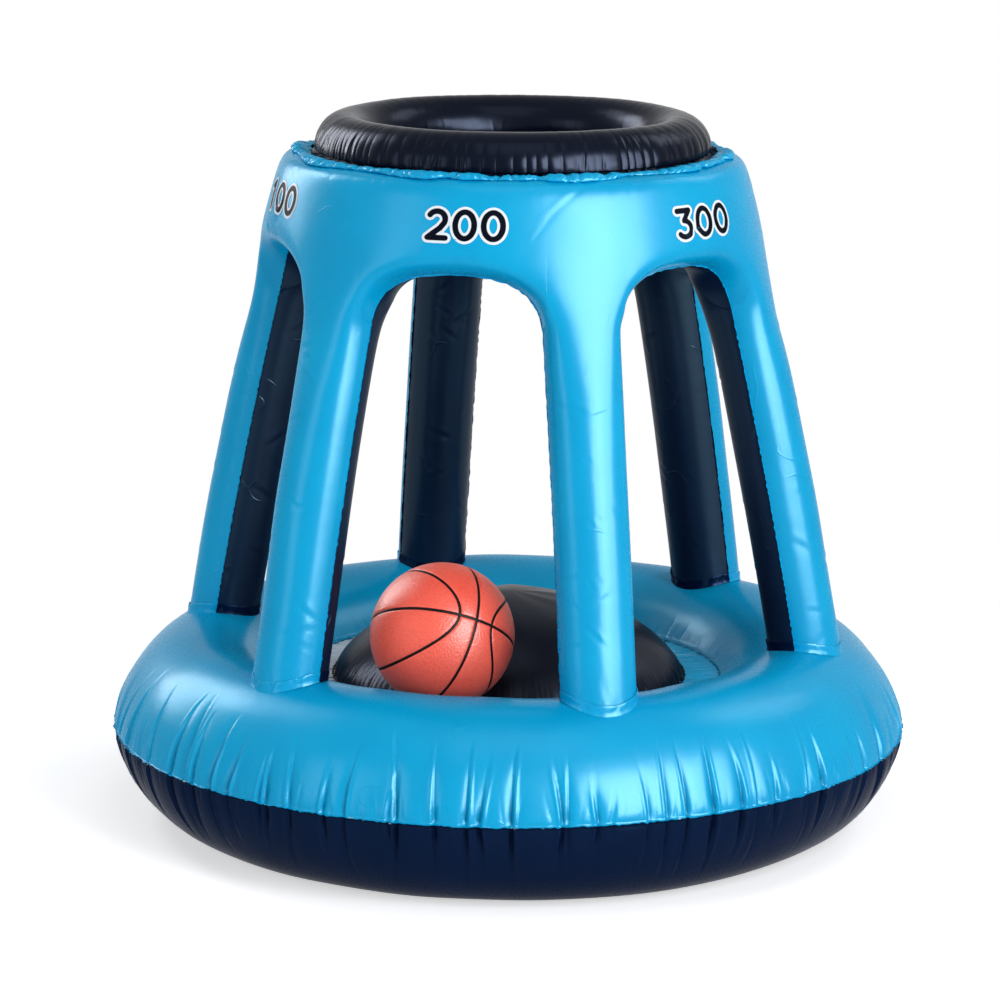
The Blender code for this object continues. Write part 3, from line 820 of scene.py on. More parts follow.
floor_sheet = floor_band()
dome_skin = dome()
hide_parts("well_floor_sheet")
bored(dome_skin, "dome")
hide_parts("dome_upper_skin")
dome_bead = bead("dome_weld_bead", dome_radius + 0.0018, well_height + 0.0018, 0.0011, well_turns, 51, black)
well_bead = bead("well_weld_bead", well_radius - 0.0035, well_height + 0.0010, 0.0005, well_turns, 54, navy)


# Cage


leg_rows, crown_rows, leg_columns, arch_columns = 112, 50, 24, 36
level_row = 20
arch_start = (arch_height - arch_shoulder - ring_height) / cage_rise
arch_top = (arch_height - ring_height) / cage_rise


def meridian(share):
    """Radius and height of the cage's middle surface, and the shares that its normal turns out
    and up."""
    radius = leg_circle_radius + (cage_top_radius - leg_circle_radius) * share
    radius = radius + 4 * leg_bow * share * (1 - share)
    lean = cage_top_radius - leg_circle_radius + 4 * leg_bow * (1 - 2 * share)
    length = np.hypot(lean, cage_rise)
    return radius, ring_height + cage_rise * share, cage_rise / length, -lean / length


def cage_points(azimuth, share, offset):
    radius, height, out, up = meridian(share)
    return turned(radius + out * offset, azimuth, height + up * offset)


def half_leg_grid():
    """Azimuth from the leg and share of the meridian over half a leg and its part of the crown."""
    rows = np.arange(leg_rows + crown_rows + 1)
    climbs = (1 - np.cos(pi * np.arange(crown_rows + 1) / crown_rows)) / 2
    share = arch_start * np.minimum(rows / leg_rows, 1)
    row = np.maximum(rows - leg_rows, 0)
    level = arch_top + (1 - arch_top) * climbs[np.maximum(row, level_row)]
    over_leg = np.minimum(row / level_row, 1)
    over_arch = np.minimum(climbs[row] / climbs[level_row], 1)
    edge = leg_radius / meridian(share)[0]
    grid = np.zeros((len(rows), leg_columns + arch_columns + 1, 2))
    swing = np.sin(pi / 2 * np.arange(leg_columns + 1) / leg_columns)
    grid[:, : leg_columns + 1, 0] = edge[:, None] * swing
    grid[:, : leg_columns + 1, 1] = (share + (level - share) * over_leg)[:, None]
    bend = pi / 2 * np.arange(1, arch_columns + 1) / arch_columns
    across = 1 - rounded(np.maximum(np.cos(bend), 0), arch_squareness)
    across[-1] = 1
    rise = arch_shoulder / cage_rise * rounded(np.sin(bend), arch_squareness)
    arch = share[:, None] + rise
    grid[:, leg_columns + 1 :, 0] = edge[:, None] + (pi / leg_count - edge[:, None]) * across
    grid[:, leg_columns + 1 :, 1] = arch + (level[:, None] - arch) * over_arch[:, None]
    return grid


def stand_off(grid):
    """How far two skins welded round this panel stand off its middle surface: the root of the
    membrane's height, solved by conjugate gradients."""
    most_steps, close_enough = 4000, 1e-22
    rows, columns = grid.shape[:2]
    slope = hypot(cage_rise, cage_top_radius - leg_circle_radius)
    radii = meridian(grid[..., 1])[0]
    flat = np.stack([grid[..., 0] * radii, grid[..., 1] * slope], -1).reshape(-1, 2)
    index = np.arange(rows * columns).reshape(rows, columns)
    cells = np.ones((rows - 1, columns - 1), bool)
    cells[:leg_rows, leg_columns:] = False
    corners = (index[:-1, :-1], index[1:, :-1], index[1:, 1:], index[:-1, 1:])
    faces = np.stack([corner[cells] for corner in corners], -1)
    triangles = np.concatenate([faces[:, [0, 1, 2]], faces[:, [0, 2, 3]]])
    a, b, c = (flat[triangles[:, k]] for k in range(3))
    sides = np.stack([c - b, a - c, b - a], 1)
    area = np.abs(sides[:, 0, 0] * sides[:, 1, 1] - sides[:, 0, 1] * sides[:, 1, 0]) / 2
    count = len(flat)
    load = np.bincount(triangles.ravel(), np.repeat(area / 3, 3), count)
    first, second, parts = [], [], []
    for m in range(3):
        for n in range(3):
            first.append(triangles[:, m])
            second.append(triangles[:, n])
            parts.append((sides[:, m] * sides[:, n]).sum(1) / (4 * area))
    first, second, parts = (np.concatenate(v) for v in (first, second, parts))
    welded = [index[: leg_rows + 1, leg_columns], index[leg_rows, leg_columns:], index[-1]]
    free = np.zeros(count, bool)
    free[faces.ravel()] = True
    free[np.concatenate(welded)] = False
    diagonal = np.where(free, np.bincount(first, parts * (first == second), count), 1.0)
    height = np.zeros(count)
    residual = np.where(free, load, 0)
    ready = residual / diagonal
    way = ready.copy()
    energy = residual @ ready
    for _ in range(most_steps):
        pull = np.where(free, np.bincount(first, parts * way[second], count), 0)
        step = energy / (way @ pull)
        height += step * way
        residual -= step * pull
        ready = residual / diagonal
        next_energy = residual @ ready
        if next_energy < close_enough:
            break
        way = ready + next_energy / energy * way
        energy = next_energy
    return np.sqrt(2 * np.maximum(height, 0)).reshape(rows, columns)


def held_in(bulge, shares, crown_swell):
    in_crown = smooth_step(2 * shares / arch_start - 1)
    most = leg_swell + (crown_swell - leg_swell) * in_crown
    return bulge / (1 + (bulge / most) ** swell_sharpness) ** (1 / swell_sharpness)


def leg_azimuth(k):
    return full_turn * (k + 1 / 2) / leg_count


def seated_share(azimuth, offset, lift):
    share = np.zeros(np.broadcast(azimuth, offset).shape)
    for _ in range(12):
        point = cage_points(azimuth, share, offset)
        gap = point[..., 2] - ring_top(np.hypot(point[..., 0], point[..., 1])) - lift
        share = share - gap / cage_rise
    return share


def marks(across, climb, folds):
    """Short folds drawn on the film: each is (middle, height, direction, half length, depth,
    width) in metres, with its direction in radians from level."""
    total = np.zeros(across.shape)
    for x, z, turn, half, depth, width in folds:
        dx, dz = across - x, climb - z
        along = dx * cos(turn) + dz * sin(turn)
        beside = -dx * sin(turn) + dz * cos(turn)
        near = (np.abs(along) < 2 * half) & (np.abs(beside) < 8 * width)
        fade = np.exp(-((along[near] / half) ** 4))
        profile = np.exp(-np.abs(beside[near]) / width)
        lip = np.exp(-(((beside[near] - 2.2 * width) / (1.6 * width)) ** 2))
        total[near] += depth * fade * (0.45 * lip - profile)
    return total


def foot_folds(k, side, around, up, seed):
    """Gathers above a leg's weld to the ring, slanting round the leg."""
    rng = np.random.default_rng(seed + 10 * k + side)
    total = np.zeros(around.shape)
    for _ in range(26):
        centre = rng.uniform(-pi / 2, pi / 2)
        reach = rng.uniform(0.008, 0.034)
        lean = rng.uniform(-34, 34)
        depth = rng.uniform(0.0002, 0.0011)
        width = rng.uniform(0.0010, 0.0026)
        away = np.abs(around - centre - lean * up) * leg_radius
        total -= depth * np.exp(-away / width) * np.clip(1 - up / reach, 0, 1)
    return total


def random_folds(seed, count, low, high, half_lengths, depths, slants):
    """Folds scattered over a stretch of film, from its low corner to its high corner."""
    rng = np.random.default_rng(seed)
    folds = []
    for _ in range(count):
        folds.append((
            rng.uniform(low[0], high[0]),
            rng.uniform(low[1], high[1]),
            rng.choice((-1, 1)) * rng.uniform(*slants),
            rng.uniform(*half_lengths),
            rng.uniform(*depths),
            rng.uniform(0.0010, 0.0022),
        ))
    return folds


def arch_folds(side):
    """Pinches that run up the crown from the middle of each arch."""
    rng = np.random.default_rng(61 + side)
    folds = []
    for k in range(leg_count + 1):
        for _ in range(5):
            turn = pi / 2 + rng.uniform(-0.55, 0.55)
            half = rng.uniform(0.012, 0.030)
            x = full_turn * k / leg_count * crown_mean_radius + rng.uniform(-0.022, 0.022)
            z = arch_height + 0.004 + half * 0.8
            folds.append((x, z, turn, half, rng.uniform(0.0006, 0.0022), rng.uniform(0.0012, 0.0030)))
    return folds


def cage_skin(name, side, material):
    grid = half_leg_grid()
    crown_swell = outer_crown_swell if side > 0 else inner_crown_swell
    bulge = held_in(stand_off(grid), grid[..., 1], crown_swell)
    lift = foot_gap + film + weld_gap
    top = Creases(96, (0.0004, 0.0016), (0.008, 0.030), 0.5, 63 + side)
    pinches = arch_folds(side)
    crown_marks = random_folds(
        66 + side, 46, (0, 0.675), (1.65, 0.745), (0.010, 0.036), (0.00015, 0.00055), (0.2, 1.3)
    )
    grids, flips = [], []
    for k in range(leg_count):
        for hand in (-1, 1):
            azimuth = leg_azimuth(k) + hand * grid[..., 0]
            share = grid[..., 1].copy()
            offset = side * (weld_gap + bulge)
            inner = smooth_step(bulge / 0.012)
            across = azimuth % full_turn * crown_mean_radius
            climb = ring_height + cage_rise * share
            push = marks(across, climb, pinches) + marks(across, climb, crown_marks)
            push *= inner
            from_top = hypot(cage_rise, cage_run) * (1 - share)
            columns = azimuth[-1] % full_turn
            for j, turn in enumerate(columns):
                near = from_top[:, j] < 0.035
                push[near, j] += top.lift(
                    np.array([turn]), from_top[near, j], cage_top_radius, (0.0014, 0.0030), 0.2
                )[0]
            leg = slice(0, leg_columns + 1)
            around = hand * np.arcsin(np.clip(grid[:, leg, 0] / grid[:, leg_columns, None, 0], 0, 1))
            up = cage_rise * share[:, leg]
            push[:, leg] += foot_folds(k, side, around, up, 70) * smooth_step(bulge[:, leg] / 0.008)
            along_leg = grid[:, leg, 0] * hand * leg_mean_radius
            scattered = random_folds(
                80 + 5 * k + side, 16, (-0.034, 0.24), (0.034, 0.62),
                (0.005, 0.018), (0.0005, 0.0014), (0.2, 0.9),
            )
            push[:, leg] += marks(along_leg, ring_height + up, scattered) * inner[:, leg]
            edge_folds = edge_gathers(90 + 10 * k + hand + side, up)
            push[:, leg] += edge_folds * np.exp(-bulge[:, leg] / 0.010)
            slow = waves(azimuth, share * 8, 5, 16, 3, 10, 64 + side)
            push += 0.0008 * slow * inner
            push *= calm(cage_points(azimuth, share, offset), "cage")
            offset = offset + side * push
            seat = seated_share(azimuth[0, leg], offset[0, leg], lift)
            blend = np.clip(1 - share[:, leg] / 0.07, 0, 1) ** 1.5
            share[:, leg] += seat * blend
            points = pressed(cage_points(azimuth, share, offset), "cage")
            strip, block = points[:, leg], points[leg_rows:, leg_columns:]
            grids += [strip, block]
            flips += [hand * side > 0] * 2
    points, faces = joined_grids(grids, flips)
    return mesh_of(name, points, faces, material)


def edge_gathers(seed, up):
    """Small gathers that run in from the weld down a leg's side."""
    rng = np.random.default_rng(seed)
    total = np.zeros(up.shape)
    places = np.arange(0.01, cage_rise, 0.012)
    for place in places + rng.uniform(-0.005, 0.005, len(places)):
        depth = rng.uniform(0.0003, 0.0013)
        width = rng.uniform(0.0010, 0.0026)
        total -= depth * np.exp(-np.abs(up - place) / width)
    return total


def weld_edges():
    """The weld's path along every arch: down one leg, over the arch and down the next."""
    grid = half_leg_grid()
    leg_edge = grid[: leg_rows + 1, leg_columns]
    arch_edge = grid[leg_rows, leg_columns:]
    half = np.concatenate([leg_edge, arch_edge[1:]])
    paths = []
    for k in range(leg_count):
        there = np.stack([leg_azimuth(k) + half[:, 0], half[:, 1]], -1)
        back = np.stack([leg_azimuth(k + 1) - half[:, 0], half[:, 1]], -1)
        paths.append(np.concatenate([there, back[::-1][1:]]))
    return paths


def weld_margins(name, side, material, seed):
    """The cut edge of the two skins, a few millimetres wide, that stands out along each arch."""
    grids = []
    for k, path in enumerate(weld_edges()):
        radius = meridian(path[:, 1])[0]
        flat = np.stack([path[:, 0] * radius, path[:, 1] * cage_rise], -1)
        along = np.concatenate([[0], np.cumsum(np.hypot(*np.diff(flat, axis=0).T))])
        fine = np.linspace(0, along[-1], int(along[-1] / 0.0022))
        azimuth = np.interp(fine, along, path[:, 0])
        share = np.interp(fine, along, path[:, 1])
        x = np.interp(fine, along, flat[:, 0])
        z = np.interp(fine, along, flat[:, 1])
        run, climb = np.gradient(x), np.gradient(z)
        length = np.hypot(run, climb)
        away_x, away_z = climb / length, -run / length
        place = fine / along[-1] * full_turn
        width = 0.0005 + 0.0017 * jagged(place, 190, seed + k)
        sway = 0.0006 * waves(place, 0.0, 60, 170, 0, 8, seed + 20 + k)
        steps = np.array([0.0, 0.5, 1.0])
        reach = width[:, None] * steps
        mean = meridian(share)[0]
        new_azimuth = azimuth[:, None] + away_x[:, None] * reach / mean[:, None]
        new_share = share[:, None] + away_z[:, None] * reach / cage_rise
        offset = side * weld_gap + sway[:, None] * steps
        first_row = seated_share(new_azimuth, offset, foot_gap)
        new_share = np.maximum(new_share, first_row)
        grids.append(cage_points(new_azimuth, new_share, offset))
    points, faces = joined_grids(grids, [side > 0] * len(grids))
    return mesh_of(name, points, faces, material)


cage_outer = cage_skin("cage_outer_film", 1, light_blue)
cage_inner = cage_skin("cage_inner_film", -1, lit_navy_copy)
bored(cage_outer, "cage")
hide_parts("cage_outer_skin")
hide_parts("cage_inner_skin")
outer_margin = weld_margins("cage_outer_weld_edge", 1, light_blue, 101)
inner_margin = weld_margins("cage_inner_weld_edge", -1, navy, 101)


def cuff(k):
    """The gathered cuff that welds one leg to the ring, blue outside and navy inside."""
    angles = turns_of(160)
    rng = np.random.default_rng(120 + k)
    levels = np.array([-0.0004, 0.0014, 0.0040, 0.0066, 0.0088, 0.0104, 0.0108, 0.0100])
    swells = np.array([0.0004, 0.0, -0.0001, 0.0002, 0.0004, 0.0003, 0.0001, -0.0003])
    lump = np.zeros((len(angles), len(levels)))
    for _ in range(34):
        centre, lean = rng.uniform(0, full_turn), rng.uniform(-30, 30)
        depth, width = rng.uniform(0.0003, 0.0012), rng.uniform(0.0012, 0.0030)
        away = wrapped(angles[:, None] - centre - lean * levels)
        lump -= depth * np.exp(-np.abs(away) * leg_radius / width)
    top = 0.0016 * jagged(angles, 44, 130 + k) - 0.0008
    reach = leg_radius + 2 * weld_gap + film + swells + lump * (levels > 0) * 0.9
    azimuth = leg_azimuth(k) + reach * np.cos(angles)[:, None] / leg_circle_radius
    offset = reach * np.sin(angles)[:, None]
    climb = levels + top[:, None] * smooth_step(levels / 0.008)
    share = seated_share(azimuth, offset, 0.0006) + climb / cage_rise
    grid = cage_points(azimuth, share, offset)
    obj = turned_object(f"leg_cuff_{k + 1}", grid, light_blue, True)
    obj.data.materials.append(navy)
    face_turns = np.repeat(angles + pi / len(angles), len(levels) - 1)
    inside = (np.sin(face_turns) < 0).astype(np.int32)
    obj.data.polygons.foreach_set("material_index", inside)
    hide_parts(f"leg_foot_{k + 1}")
    return obj


cuffs = [cuff(k) for k in range(leg_count)]


# Rim and hem


rim_turns = turns_of(1320)


def rim_skin(name, above, material):
    side = 1 if above else -1
    angles = np.linspace(0, pi, 3000)
    depth = rim_rise if above else rim_drop
    radii = rim_radius + rim_half_width * np.cos(angles)
    heights = rim_seam_height + side * (film + depth * np.sin(angles))
    length = section_length(radii, heights)
    along = stations_of(length, 0.0016, 0.0036, 0.03, 0.012)
    section = laid_along(radii, heights, along, side)
    outer = rim_radius + rim_half_width
    puckers = Creases(104, (0.0002, 0.0012), (0.006, 0.019), 0.48, 141)
    lift = puckers.lift(rim_turns, along, outer, (0.0010, 0.0026), 0.15, 1.0, 0.5, 0.10)
    placed = (-11.9, -0.8, 34.0, 48.7, 54.1, -44, -50, -54, -59, -63, -68, -72, -77, -83)
    long = Creases(24, (0.0008, 0.0022), (0.026, 0.070), 0.5, 142, placed)
    lift += long.lift(rim_turns, along, outer, (0.0012, 0.0044), 0.35, lip=0.3)
    inner = Creases(48, (0.0002, 0.0008), (0.010, 0.026), 0.5, 143)
    inside = rim_radius - rim_half_width
    lift += inner.lift(rim_turns, length - along, inside, (0.0014, 0.0032), 0.3)
    lift += swell(rim_turns, along, length, 0.0008, (0.015, 0.015), (3, 9, 30, 8, 144))
    return turned_object(name, blown(rim_turns, section, lift, "rim"), material, not above)


def rim_flange():
    """The crinkled weld margin round the rim, which leans down over the hem."""
    steps = np.linspace(0, 1, 6)
    width = 0.0050 + 0.0048 * jagged(rim_turns, 360, 151)
    sway = 0.0022 * waves(rim_turns[:, None], steps * 1.5, 40, 130, 1, 12, 152)
    sway += 0.0012 * waves(rim_turns[:, None], steps * 2.5, 130, 300, 1, 12, 153)
    droop = 0.42 + 0.38 * waves(rim_turns, 0.0, 3, 14, 0, 8, 154)
    run = width[:, None] * steps * np.cos(droop)[:, None] + sway * steps * 0.5
    fall = width[:, None] * steps * np.sin(droop)[:, None] + sway * steps
    radius = rim_radius + rim_half_width - 0.001 + run
    grid = turned(radius, rim_turns[:, None], rim_seam_height - fall)
    return turned_object("rim_weld_margin", grid, black, True)


def hem_size(turns):
    """How far the hem is puffed up round the rim, with pinches."""
    swell = 0.74 + 0.26 * np.cos(turns - 0.24) + 0.34 * waves(turns, 0.0, 3, 13, 0, 10, 161)
    rng = np.random.default_rng(162)
    centres = np.concatenate([np.radians([-3.0, 45.5, 20.0]), rng.uniform(radians(70), radians(330), 10)])
    for centre in centres:
        away = np.abs(wrapped(turns - centre)) * cage_top_radius
        swell -= rng.uniform(0.35, 0.75) * np.exp(-((away / rng.uniform(0.004, 0.012)) ** 2))
    return np.clip(swell, 0.22, 1.30)


def shoulder(radius):
    """Height of the crown's film beside its top weld."""
    radii = (0.226, 0.230, 0.236, 0.240, 0.248, 0.252, 0.256, 0.260, 0.264, 0.268)
    heights = (0.7626, 0.7634, 0.7643, 0.7645, 0.7641, 0.7631, 0.7617, 0.7590, 0.7530, 0.7440)
    return np.interp(radius, radii, heights)


def hem():
    """The crumpled strip between the crown and the rim's margin. It lies over the crown's shoulder
    and folds back to the rim."""
    size = hem_size(rim_turns)[:, None]
    out = (0.0, 0.0056, 0.0120, 0.0186, 0.0236, 0.0258, 0.0254, 0.0214, 0.0150, 0.0086, 0.0036)
    lift = (0.0, 0.0005, 0.0005, 0.0005, 0.0006, 0.0026, 0.0054, 0.0076, 0.0070, 0.0050, 0.0048)
    fine = np.linspace(0, 1, 30)
    along = np.linspace(0, 1, len(out))
    out, lift = np.interp(fine, along, out), np.interp(fine, along, lift)
    crumple = np.zeros((len(rim_turns), len(fine)))
    rng = np.random.default_rng(163)
    for _ in range(240):
        centre, lean = rng.uniform(0, full_turn), rng.uniform(-0.10, 0.10)
        depth, width = rng.uniform(0.0008, 0.0042), rng.uniform(0.0012, 0.0044)
        middle, spread = rng.uniform(0.4, 1.0), rng.uniform(0.2, 0.5)
        path = centre + lean * (fine - middle)
        away = wrapped(rim_turns[:, None] - path) * cage_top_radius
        near = np.abs(away) < 0.016
        fold = np.exp(-np.abs(away) / width) * np.exp(-(((fine - middle) / spread) ** 2))
        crumple -= np.where(near, depth * fold, 0)
    crumple += 0.0007 * waves(rim_turns[:, None], fine * 6, 60, 220, 3, 14, 164)
    crumple *= smooth_step(fine / 0.15) * np.minimum(size * 1.3, 1)
    radius = cage_top_radius + 0.0006 + out * (0.28 + 0.72 * size) + crumple * 0.5
    above = lift * (0.55 + 0.45 * size) + crumple * 0.8
    height = shoulder(radius) + np.maximum(above, 0.0004)
    height[:, 0] = cage_top_height + weld_gap + film
    grid = turned(radius, rim_turns[:, None], height)
    return turned_object("rim_hem", grid, light_blue)


rim_upper = rim_skin("rim_upper_film", True, black)
rim_lower = rim_skin("rim_lower_film", False, black)
rim_margin = rim_flange()
rim_hem = hem()
bored(rim_upper, "rim")
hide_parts("rim_upper_skin")
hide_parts("rim_lower_skin")
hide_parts("rim_joining_hem")


# Numbers printed on the crown


def arc(middle, radii, start, stop, count=14):
    angles = np.radians(np.linspace(start, stop, count))
    return [(middle[0] + radii[0] * cos(a), middle[1] + radii[1] * sin(a)) for a in angles]


digit_strokes = {
    "0": [arc((0, 0), (0.30, 0.42), 0, 360, 40)],
    "1": [[(-0.20, 0.26), (0.04, 0.42), (0.04, -0.42)]],
    "2": [arc((0.0, 0.17), (0.27, 0.25), 150, -25, 14) + [(0.12, -0.10), (-0.27, -0.42), (0.29, -0.42)]],
    "3": [[(-0.26, 0.42), (0.25, 0.42), (-0.01, 0.10)] + arc((-0.02, -0.16), (0.28, 0.26), 80, -140, 14)],
    "4": [[(0.12, -0.42), (0.12, 0.42), (-0.30, -0.18), (0.30, -0.18)]],
    "5": [[(0.24, 0.42), (-0.20, 0.42), (-0.23, 0.06)] + arc((0.0, -0.13), (0.27, 0.29), 130, -140, 14)],
    "6": [arc((0.0, -0.15), (0.28, 0.27), 0, 360, 30), arc((0.22, -0.10), (0.50, 0.52), 185, 100, 10)],
}
digit_height = 0.0345
digit_pitch = 0.0296
digit_squeeze = 0.96
stroke_half = 0.0030
outline = 0.0029
ink_lift = 0.00062
outline_lift = 0.00036
number_offset = 3.1
number_height = 0.715
number_slope = 0.0065
view_azimuth = 13.73


def stroke_distance(points, strokes):
    """Distance of each point to the nearest stroke."""
    nearest = np.full(len(points), 1e9)
    for stroke in strokes:
        line = np.array(stroke)
        for start, end in zip(line, line[1:]):
            way = end - start
            share = np.clip((points - start) @ way / (way @ way), 0, 1)
            gap = points - start - share[:, None] * way
            nearest = np.minimum(nearest, np.hypot(gap[:, 0], gap[:, 1]))
    return nearest


def filled(level, xs, ys):
    """Points and triangles of the part of a grid where level is below zero."""
    points, index, faces = [], {}, []

    def point(key, place):
        if key not in index:
            index[key] = len(points)
            points.append(place)
        return index[key]

    rows, columns = level.shape
    for i in range(rows - 1):
        for j in range(columns - 1):
            ring = [(i, j), (i, j + 1), (i + 1, j + 1), (i + 1, j)]
            values = [level[c] for c in ring]
            if min(values) >= 0:
                continue
            shape = []
            for n in range(4):
                a, b = ring[n], ring[(n + 1) % 4]
                va, vb = values[n], values[(n + 1) % 4]
                if va < 0:
                    shape.append(point(a, (xs[a[1]], ys[a[0]])))
                if (va < 0) != (vb < 0):
                    share = va / (va - vb)
                    x = xs[a[1]] + (xs[b[1]] - xs[a[1]]) * share
                    y = ys[a[0]] + (ys[b[0]] - ys[a[0]]) * share
                    shape.append(point((min(a, b), max(a, b)), (x, y)))
            for n in range(1, len(shape) - 1):
                faces.append((shape[0], shape[n], shape[n + 1]))
    return np.array(points), faces


def on_crown(tree, points, azimuth, height, lift):
    """Points of a flat print laid on the crown round this place, by rays from outside it that
    dip a little."""
    outside, above, dip = 0.36, 0.02, 0.20
    laid = []
    for x, y in points:
        turn = azimuth + x / crown_mean_radius
        start = Vector(turned(outside, turn, height + y + above))
        inward = Vector(turned(-1.0, turn, -dip)).normalized()
        hit, normal, _, _ = tree.ray_cast(start, inward)
        laid.append(hit + normal * lift)
    return np.array(laid)


def numbers():
    tree = BVHTree.FromPolygons(
        [v.co for v in cage_outer.data.vertices],
        [p.vertices for p in cage_outer.data.polygons],
    )
    inks, edges = [[], []], [[], []]
    half_width = 1.5 * digit_pitch + outline
    half_height = digit_height / 2 + stroke_half + outline
    margin, cell = 0.002, 0.0009
    xs = np.arange(-half_width - margin, half_width + margin, cell)
    ys = np.arange(-half_height - margin, half_height + margin, cell)
    gx, gy = np.meshgrid(xs, ys)
    spots = np.stack([gx.ravel(), gy.ravel()], -1)
    for k in range(leg_count):
        text = f"{(k + 1) % leg_count + 1}00"
        strokes = []
        for place, digit in enumerate(text):
            for stroke in digit_strokes[digit]:
                shaped = np.array(stroke) * (digit_height * digit_squeeze, digit_height)
                shaped = shaped + ((place - 1) * digit_pitch, 0)
                strokes.append(shaped)
        distance = stroke_distance(spots, strokes).reshape(gx.shape)
        azimuth = full_turn * k / leg_count + radians(number_offset)
        prints = ((inks, stroke_half, ink_lift), (edges, stroke_half + outline, outline_lift))
        for store, reach, lift in prints:
            points, faces = filled(distance - reach, xs, ys)
            height = number_height - number_slope * sin(azimuth - radians(view_azimuth))
            laid = on_crown(tree, points, azimuth, height, lift)
            first = sum(map(len, store[0]))
            store[1] += [tuple(first + corner for corner in face) for face in faces]
            store[0].append(laid)
    ink = mesh_of("crown_numbers", np.concatenate(inks[0]), inks[1], print_black)
    edge = mesh_of("crown_number_outlines", np.concatenate(edges[0]), edges[1], print_white)
    return ink, edge


number_ink, number_edge = numbers()


# Valves


def spun(name, profile, material):
    """A turned piece round local Z from (radius, height) points."""
    shaped = bmesh.new()
    verts = [shaped.verts.new((radius, 0, height)) for radius, height in profile]
    pairs = [shaped.edges.new(pair) for pair in zip(verts, verts[1:])]
    bmesh.ops.spin(
        shaped, geom=verts + pairs, cent=(0, 0, 0), axis=(0, 0, 1), angle=full_turn, steps=40,
        use_merge=True,
    )
    bmesh.ops.remove_doubles(shaped, verts=shaped.verts, dist=0.00001)
    bmesh.ops.recalc_face_normals(shaped, faces=shaped.faces)
    obj = of_bmesh(name, shaped, material)
    obj.data.shade_smooth()
    return obj


def tongue(name, start, end, half_width, low, high, material):
    """A flat lug with a round end, from start to end along local X."""
    outline_points = [(start, -half_width), (end - half_width, -half_width)]
    for angle in np.linspace(-pi / 2, pi / 2, 9)[1:-1]:
        outline_points.append((end - half_width + half_width * cos(angle), half_width * sin(angle)))
    outline_points += [(end - half_width, half_width), (start, half_width)]
    shaped = bmesh.new()
    verts = [shaped.verts.new((x, y, low)) for x, y in outline_points]
    face = shaped.faces.new(verts)
    grown = bmesh.ops.extrude_face_region(shaped, geom=[face])
    for item in grown["geom"]:
        if isinstance(item, bmesh.types.BMVert):
            item.co.z = high
    bmesh.ops.recalc_face_normals(shaped, faces=shaped.faces)
    edges = list(shaped.edges)
    bmesh.ops.bevel(shaped, geom=edges, offset=0.0002, segments=2, affect="EDGES")
    return of_bmesh(name, shaped, material)


def valve(chamber):
    """A chamber's flange, stem and plug, on the places that the record's joints give."""
    place = valve_place(chamber)
    opening = stem_radius + 0.0003
    flange = spun(f"{chamber}_flange", [
        (opening, weld_gap), (flange_radius + 0.0006, weld_gap - 0.0002),
        (flange_radius, weld_gap + flange_thickness * 0.55), (flange_radius - 0.0006, flange_top),
        (flange_radius - 0.0018, flange_top), (flange_radius - 0.0022, flange_top - 0.0003),
        (flange_radius - 0.0028, flange_top - 0.0003), (flange_radius - 0.0032, flange_top),
        (opening + 0.0005, flange_top), (opening, flange_top - 0.0003), (opening, weld_gap),
    ], valve_clear)
    stem = spun(f"{chamber}_stem_tube", [
        (stem_bore, stem_top - stem_depth), (stem_radius - 0.0006, stem_top - stem_depth),
        (stem_radius - 0.0001, stem_top - stem_depth + 0.0008), (stem_radius, stem_top - 0.0004),
        (stem_radius - 0.0003, stem_top), (stem_bore + 0.0004, stem_top), (stem_bore, stem_top - 0.0004),
        (stem_bore, stem_top - stem_depth),
    ], valve_clear)
    lug = tongue(f"{chamber}_stem_lug", (stem_bore + stem_radius) / 2, lug_reach - 0.0008,
                 lug_half_width, stem_top - lug_thickness, stem_top, valve_clear)
    plug_low = stem_top + weld_gap
    plug_top = plug_low + plug_thickness
    plug = spun(f"{chamber}_plug_cap", [
        (0, stem_top - pin_length), (pin_radius - 0.0006, stem_top - pin_length),
        (pin_radius, stem_top - pin_length + 0.0006), (pin_radius - 0.0003, stem_top - 0.0014),
        (pin_radius, stem_top - 0.0006), (pin_radius, plug_low), (plug_radius - 0.0002, plug_low),
        (plug_radius, plug_low + 0.0004), (plug_radius - 0.0003, plug_top - 0.0002),
        (plug_radius - 0.0008, plug_top), (plug_radius - 0.0022, plug_top - 0.0001),
        (plug_radius - 0.0026, plug_top - 0.0004), (0, plug_top - 0.0004),
    ], valve_clear)
    strap_piece = tongue(f"{chamber}_plug_strap_tab", plug_radius - plug_thickness, lug_reach - 0.0002,
                         lug_half_width, plug_low, plug_low + plug_thickness / 2, valve_clear)
    for piece in (flange, stem, lug, plug, strap_piece):
        piece.matrix_world = place
    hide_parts(f"{chamber}_valve_flange")
    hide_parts(f"{chamber}_valve_stem")
    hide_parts(f"{chamber}_valve_plug")
    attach(flange, "float_and_cage")
    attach(stem, f"{chamber}_stem")
    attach(lug, f"{chamber}_stem")
    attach(plug, f"{chamber}_plug")
    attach(strap_piece, f"{chamber}_plug")


bpy.context.view_layer.update()
for chamber in ("base", "dome", "cage", "rim"):
    valve(chamber)


# Ball


ball_axes = np.array([(0.6563, -0.6351, 0.4073), (0.7539, 0.5309, -0.3870), (0.0295, 0.5610, 0.8273)])
loop_long = radians(75.3)
loop_short = radians(44.0)
channel_half = 0.0018
channel_depth = 0.0011
ball_cuts = 95


